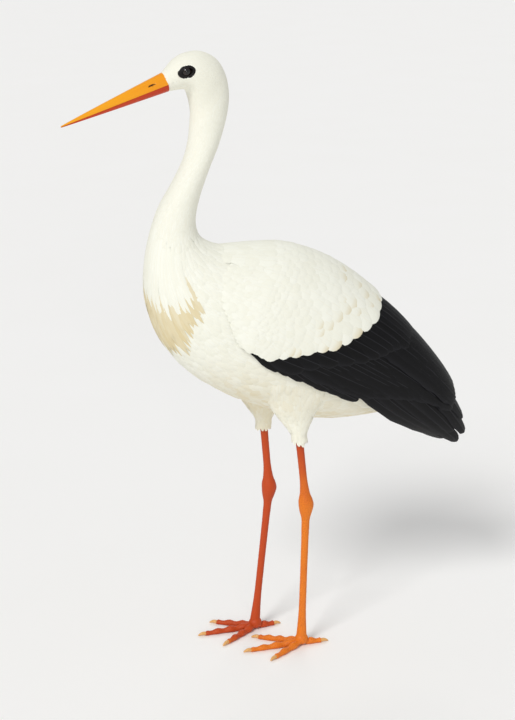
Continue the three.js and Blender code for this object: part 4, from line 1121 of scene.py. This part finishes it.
upper_horn = horn("upper bill horn", "#f5a616", "#ee8c14", "#e07a10")
lower_horn = horn("lower bill horn", "#c93e12", "#ba300d", "#a5290b")
for name, direction, depth, material in (("upper", 1, BILL["culmen"], upper_horn),
                                         ("lower", -1, BILL["keel"], lower_horn)):
    share = np.concatenate([np.linspace(0, 0.3, 90)[:-1], np.linspace(0.3, 0.97, 90)[:-1],
                            np.linspace(0.97, 1, 8)])[:, None]
    narrowing = (1 - share) ** 0.9
    width = BILL["tip"] + (BILL["half_width"] - BILL["tip"]) * narrowing
    high = BILL["tip"] + (depth - BILL["tip"]) * narrowing
    edge = MOUTH["level"] * (1 - share) + direction * BILL["parted"]
    turn = np.radians(np.linspace(0, 180, 41)[None])
    aside = np.sign(np.cos(turn)) * np.abs(np.cos(turn)) ** 0.92
    rise = np.sin(turn) ** (1.12 if direction > 0 else 1.0)
    x = -BILL["ahead"] - BILL["length"] * share + 0 * turn
    hollow = np.zeros(x.shape)
    y, z = width * aside, edge + direction * high * rise
    if direction > 0:
        ahead = -x - NOSTRIL["ahead"]
        slit = np.clip(1 - (ahead / (NOSTRIL["length"] / 2)) ** 2
                       - ((z - NOSTRIL["above"]) / NOSTRIL["height"]) ** 2, 0, 1)
        groove = (np.clip(ahead / 8, 0, 1) * np.clip((70 - ahead) / 60, 0, 1)
                  * np.exp(-((z - edge - (NOSTRIL["above"] - MOUTH["level"]) * (1 - share)) / 1.6) ** 2))
        y = y - np.sign(y) * (NOSTRIL["depth"] * np.sqrt(slit) + NOSTRIL["groove"] * groove)
        # The nostril slits take painted shade.
        hollow = np.clip(slit * 3, 0, 1)
    rings = np.stack([x, y, z], -1)
    girth = np.linspace(0, 1, 41)[None] + 0 * share
    along = np.stack([share + 0 * turn, girth], -1).reshape(-1, 2)
    along = np.concatenate([along, [[0, 0.5], [1, 0.5]]])
    mandible = built(f"bill_{name}_sheath", *tube(from_head(rings)), material, {"along": along},
                     {"hollow": np.concatenate([hollow.ravel(), [0, 0]])})
    mandible.data.set_sharp_from_angle(angle=math.radians(60))
    finish(mandible, f"bill_horn_{name}", f"bill_{name}")

# ------------------------------------------------------------------------------------ legs and feet
# Bare legs in tough scaly skin: small pebbled scales round the shank, scutes across the top of the toes and
# soft pads below. Dry and slightly waxy, orange, redder towards the body.

SHANK = [  # the joint it is measured from, how far above that, and half its depth and its breadth
    ("knee", 14, 6.4, 5.8), ("knee", -20, 6.3, 5.7), ("middle", 8, 6.1, 5.5), ("ankle", 34, 6.8, 6.1),
    ("ankle", 18, 9.0, 7.6), ("ankle", 9, 11.6, 9.8), ("ankle", 0, 12.4, 10.4), ("ankle", -10, 10.6, 9.0),
    ("ankle", -22, 7.4, 6.2), ("ankle", -42, 6.5, 5.4), ("ankle", -90, 6.0, 5.0), ("ankle", -145, 5.9, 4.9),
    ("foot", 42, 6.4, 5.3), ("foot", 17, 7.8, 6.6), ("foot", -4, 9.4, 8.4)]
HUB = {"long": 11, "wide": 10, "high": 10.2, "low": 1.4}  # the ball of the foot, where the toes meet
TOES = {"middle": (88, 0, 4), "inner": (68, 32, 3), "outer": (74, -34, 4), "hind": (34, 176, 2)}
TOE = {"root": 6.2, "taper": 0.38, "pad": 0.13, "scute": 4.2, "scute_depth": 0.42, "pebble": 0.12, "rise": 5,
       "sole": 0.05}
CLAW = {"gap": 0.3, "sunk": 1.2, "length": 13.2, "radius": 3.5, "sole": 0.1}

# Scaly leg skin: dry, tough and slightly waxy. Pebbles 2.7 mm across catch small dull lights, with darker
# seams between them. It turns redder above the ankle. The whole far leg is redder: painted shade.
leg_skin, tree, shader = new_material("scaly leg skin")
place = add(tree, "ShaderNodeTexCoord").outputs["Object"]
cells = add(tree, "ShaderNodeTexVoronoi", {"Vector": place, "Scale": 370.0}, feature="DISTANCE_TO_EDGE")
seams = add(tree, "ShaderNodeMapRange", {"Value": cells.outputs["Distance"], 1: 0.0, 2: 0.12, 3: 0.5, 4: 0.0})
parts = add(tree, "ShaderNodeSeparateXYZ", {"Vector": place})
height = add(tree, "ShaderNodeMapRange", {"Value": parts.outputs["Z"], 1: 0.24, 2: 0.35, 3: 0.0, 4: 1.0})
# Painted shade: the far leg, on the +Y side, is mixed towards the deeper red.
far = add(tree, "ShaderNodeMapRange", {"Value": parts.outputs["Y"], 1: -0.01, 2: 0.01, 3: 0.0, 4: 1.0})
cloud = add(tree, "ShaderNodeTexNoise", {"Vector": place, "Scale": 60.0, "Detail": 3.0})
redness_and_far_leg_shade = add(tree, "ShaderNodeMath", {0: height.outputs[0], 1: far.outputs[0]}, operation="MAXIMUM")
mottled = add(tree, "ShaderNodeMath", {0: cloud.outputs["Fac"], 1: 0.35, 2: redness_and_far_leg_shade.outputs[0]},
              operation="MULTIPLY_ADD", use_clamp=True)
base = add(tree, "ShaderNodeMix", {"Factor": mottled.outputs[0], 6: linear("#ef8514"), 7: linear("#c0440f")},
           data_type="RGBA")
seamed = add(tree, "ShaderNodeMix", {"Factor": seams.outputs[0], 6: base.outputs[2], 7: linear("#b04a10")},
             data_type="RGBA")
tree.links.new(seamed.outputs[2], shader.inputs["Base Color"])
shader.inputs["Roughness"].default_value = 0.55
shader.inputs["Specular IOR Level"].default_value = 0.35
shader.inputs["Coat Weight"].default_value = 0.08
shader.inputs["Coat Roughness"].default_value = 0.4

# Claw horn: pale and worn smooth by walking, so it gleams a little more than the skin, with faint cloudy
# growth lines.
nail_horn, tree, shader = new_material("claw horn")
place = add(tree, "ShaderNodeTexCoord").outputs["Object"]
lines = add(tree, "ShaderNodeTexNoise", {"Vector": place, "Scale": 500.0, "Detail": 3.0})
tone = add(tree, "ShaderNodeMix",
           {"Factor": lines.outputs["Fac"], 6: linear("#f0bf78"), 7: linear("#c98a48")}, data_type="RGBA")
tree.links.new(tone.outputs[2], shader.inputs["Base Color"])
shader.inputs["Roughness"].default_value = 0.4

# Raised pebbled scales: the shank's surface sinks along the seams of a net of cells.
scales = bpy.data.node_groups.new("pebbled scales", "GeometryNodeTree")
scales.interface.new_socket("Geometry", in_out="INPUT", socket_type="NodeSocketGeometry")
SCALE_INPUTS = {"Scale across": 0.0027, "Height": 0.0003, "Seam width": 0.16}
sockets = {key: scales.interface.new_socket(key, in_out="INPUT", socket_type="NodeSocketFloat")
           for key in SCALE_INPUTS}
scales.interface.new_socket("Geometry", in_out="OUTPUT", socket_type="NodeSocketGeometry")
given = add(scales, "NodeGroupInput")
density = add(scales, "ShaderNodeMath", {0: 1.0, 1: given.outputs["Scale across"]}, operation="DIVIDE")
position = add(scales, "GeometryNodeInputPosition")
normal = add(scales, "GeometryNodeInputNormal")
cell = add(scales, "ShaderNodeTexVoronoi", {"Vector": position.outputs[0], "Scale": density.outputs[0]},
           feature="DISTANCE_TO_EDGE")
dome = add(scales, "ShaderNodeMapRange",
           {"Value": cell.outputs["Distance"], 1: 0.0, 2: given.outputs["Seam width"], 3: -1.0, 4: 0.0},
           interpolation_type="SMOOTHSTEP")
reach = add(scales, "ShaderNodeMath", {0: dome.outputs[0], 1: given.outputs["Height"]}, operation="MULTIPLY")
offset = add(scales, "ShaderNodeVectorMath", {0: normal.outputs[0], "Scale": reach.outputs[0]},
             operation="SCALE")
moved = add(scales, "GeometryNodeSetPosition",
            {"Geometry": given.outputs["Geometry"], "Offset": offset.outputs[0]})
whole = add(scales, "GeometryNodeRealizeInstances", {"Geometry": moved.outputs[0]})
painted = add(scales, "GeometryNodeSetMaterial", {"Geometry": whole.outputs[0], "Material": leg_skin})
add(scales, "NodeGroupOutput", {"Geometry": painted.outputs[0]})


def smooth_profile(z, rows):
    """Columns of a profile at heights z, through given rows of height and values, from high to low."""
    rows = np.array(rows, float)[::-1]
    at, values = rows[:, 0], rows[:, 1:]
    return curved(at, values, np.gradient(values, at, axis=0), z)


for side, name in ((LEFT, "left"), (RIGHT, "right")):
    leg = LEGS[side]
    (knee_x, knee_z), (ankle_x, ankle_z), (foot_x, foot_z) = leg["knee"], leg["ankle"], leg["foot"]
    upper, lower = (knee_x - ankle_x) / (knee_z - ankle_z), (ankle_x - foot_x) / (ankle_z - foot_z - 9)
    joint_z = {"knee": knee_z, "middle": (knee_z + ankle_z) / 2, "ankle": ankle_z, "foot": foot_z}
    rows = []
    for joint, above, fore, across in SHANK:
        height = joint_z[joint] + above
        lean = upper if height > ankle_z else lower
        rows.append((height, ankle_x + (height - ankle_z) * lean, fore, across))
    z = np.linspace(knee_z + 12, foot_z - 3, 430)
    profile = smooth_profile(z, rows)
    turn = np.radians(np.linspace(0, 360, 57)[None, :-1])
    rings = np.stack(np.broadcast_arrays(
        profile[:, :1] + profile[:, 1:2] * np.cos(turn),
        side * THIGH["stance"] + profile[:, 2:3] * np.sin(turn), z[:, None] + 0 * turn), -1)
    shank = built(f"leg_{name}", *tube(rings), leg_skin)
    pebbled = shank.modifiers.new("scales", "NODES")
    pebbled.node_group = scales
    for key, value in SCALE_INPUTS.items():
        pebbled[sockets[key].identifier] = value
    applied(shank)

    origin = np.array([foot_x, side * THIGH["stance"], 0.0])
    polar = np.radians(np.linspace(2, 178, 28)[:, None])
    turn = np.radians(np.linspace(0, 360, 49)[None, :-1])
    hub = np.stack(np.broadcast_arrays(
        foot_x + HUB["long"] * np.sin(polar) * np.cos(turn),
        side * THIGH["stance"] + HUB["wide"] * np.sin(polar) * np.sin(turn),
        foot_z - HUB["low"] + HUB["high"] * np.cos(polar) + 0 * turn), -1)
    joined(shank, built("hub", *tube(hub), leg_skin), "UNION")
    for toe_name, (length, spread, joints) in TOES.items():
        angle = math.radians(-spread * side)
        heading = np.array([-math.cos(angle), -math.sin(angle), 0])
        across = np.array([-heading[1], heading[0], 0])
        t = np.linspace(0, 1, int(length * 2.2))[:, None]
        pad = 1 + TOE["pad"] * np.cos(2 * np.pi * t * joints)
        tip = np.sqrt(np.clip(1 - ((t - 0.93) / 0.07).clip(0, 1) ** 2 * 0.75, 0, 1))
        radius = TOE["root"] * (1 - TOE["taper"] * t) * pad * tip
        down = np.minimum(1, t * 4)
        height = (radius * 0.9 + TOE["rise"]) * (1 - down) + radius * 0.86 * down
        turn = np.radians(np.linspace(0, 360, 41)[None, :-1])
        ripple = np.abs(np.sin(np.pi * length * t / TOE["scute"])) ** 0.35 - 1
        scuted = np.clip(np.sin(turn) * 2.2, 0, 1)
        bumps = TOE["pebble"] * np.sin(turn * 18) * np.sin(length * t * 2.1) * (1 - scuted)
        reach = radius + TOE["scute_depth"] * ripple * scuted + bumps
        ring = (origin + heading * (length * t)[..., None] + across * (reach * np.cos(turn))[..., None]
                + np.array([0, 0, 1.0]) * (height + reach * np.sin(turn))[..., None])
        ring[..., 2] = np.maximum(ring[..., 2], TOE["sole"])
        joined(shank, built("toe", *tube(ring), leg_skin), "UNION")

        t = np.linspace(0, 1, 26)[:, None]
        size = CLAW["radius"] * np.sqrt(np.clip(1 - t**2.2, 0.004, 1)) * (1 - 0.12 * t)
        turn = np.radians(np.linspace(0, 360, 25)[None, :-1])
        height = 3.3 + 0.9 * np.sin(np.pi * t) - 2.2 * t**2
        ahead = length + CLAW["gap"] - CLAW["sunk"] + CLAW["length"] * t
        ring = (origin + heading * ahead[..., None] + across * (size * 0.86 * np.cos(turn))[..., None]
                + np.array([0, 0, 1.0]) * (height + size * 0.9 * np.sin(turn))[..., None])
        ring[..., 2] = np.maximum(ring[..., 2], CLAW["sole"])
        nail = built(f"nail_{toe_name}_{name}", *tube(ring), nail_horn)
        finish(nail, "claw_horn", f"claw_{toe_name}_{name}")
    shank.data.shade_smooth()
    finish(shank, "leg_skin", f"tibia_{name}", f"tarsus_{name}", f"foot_{name}")
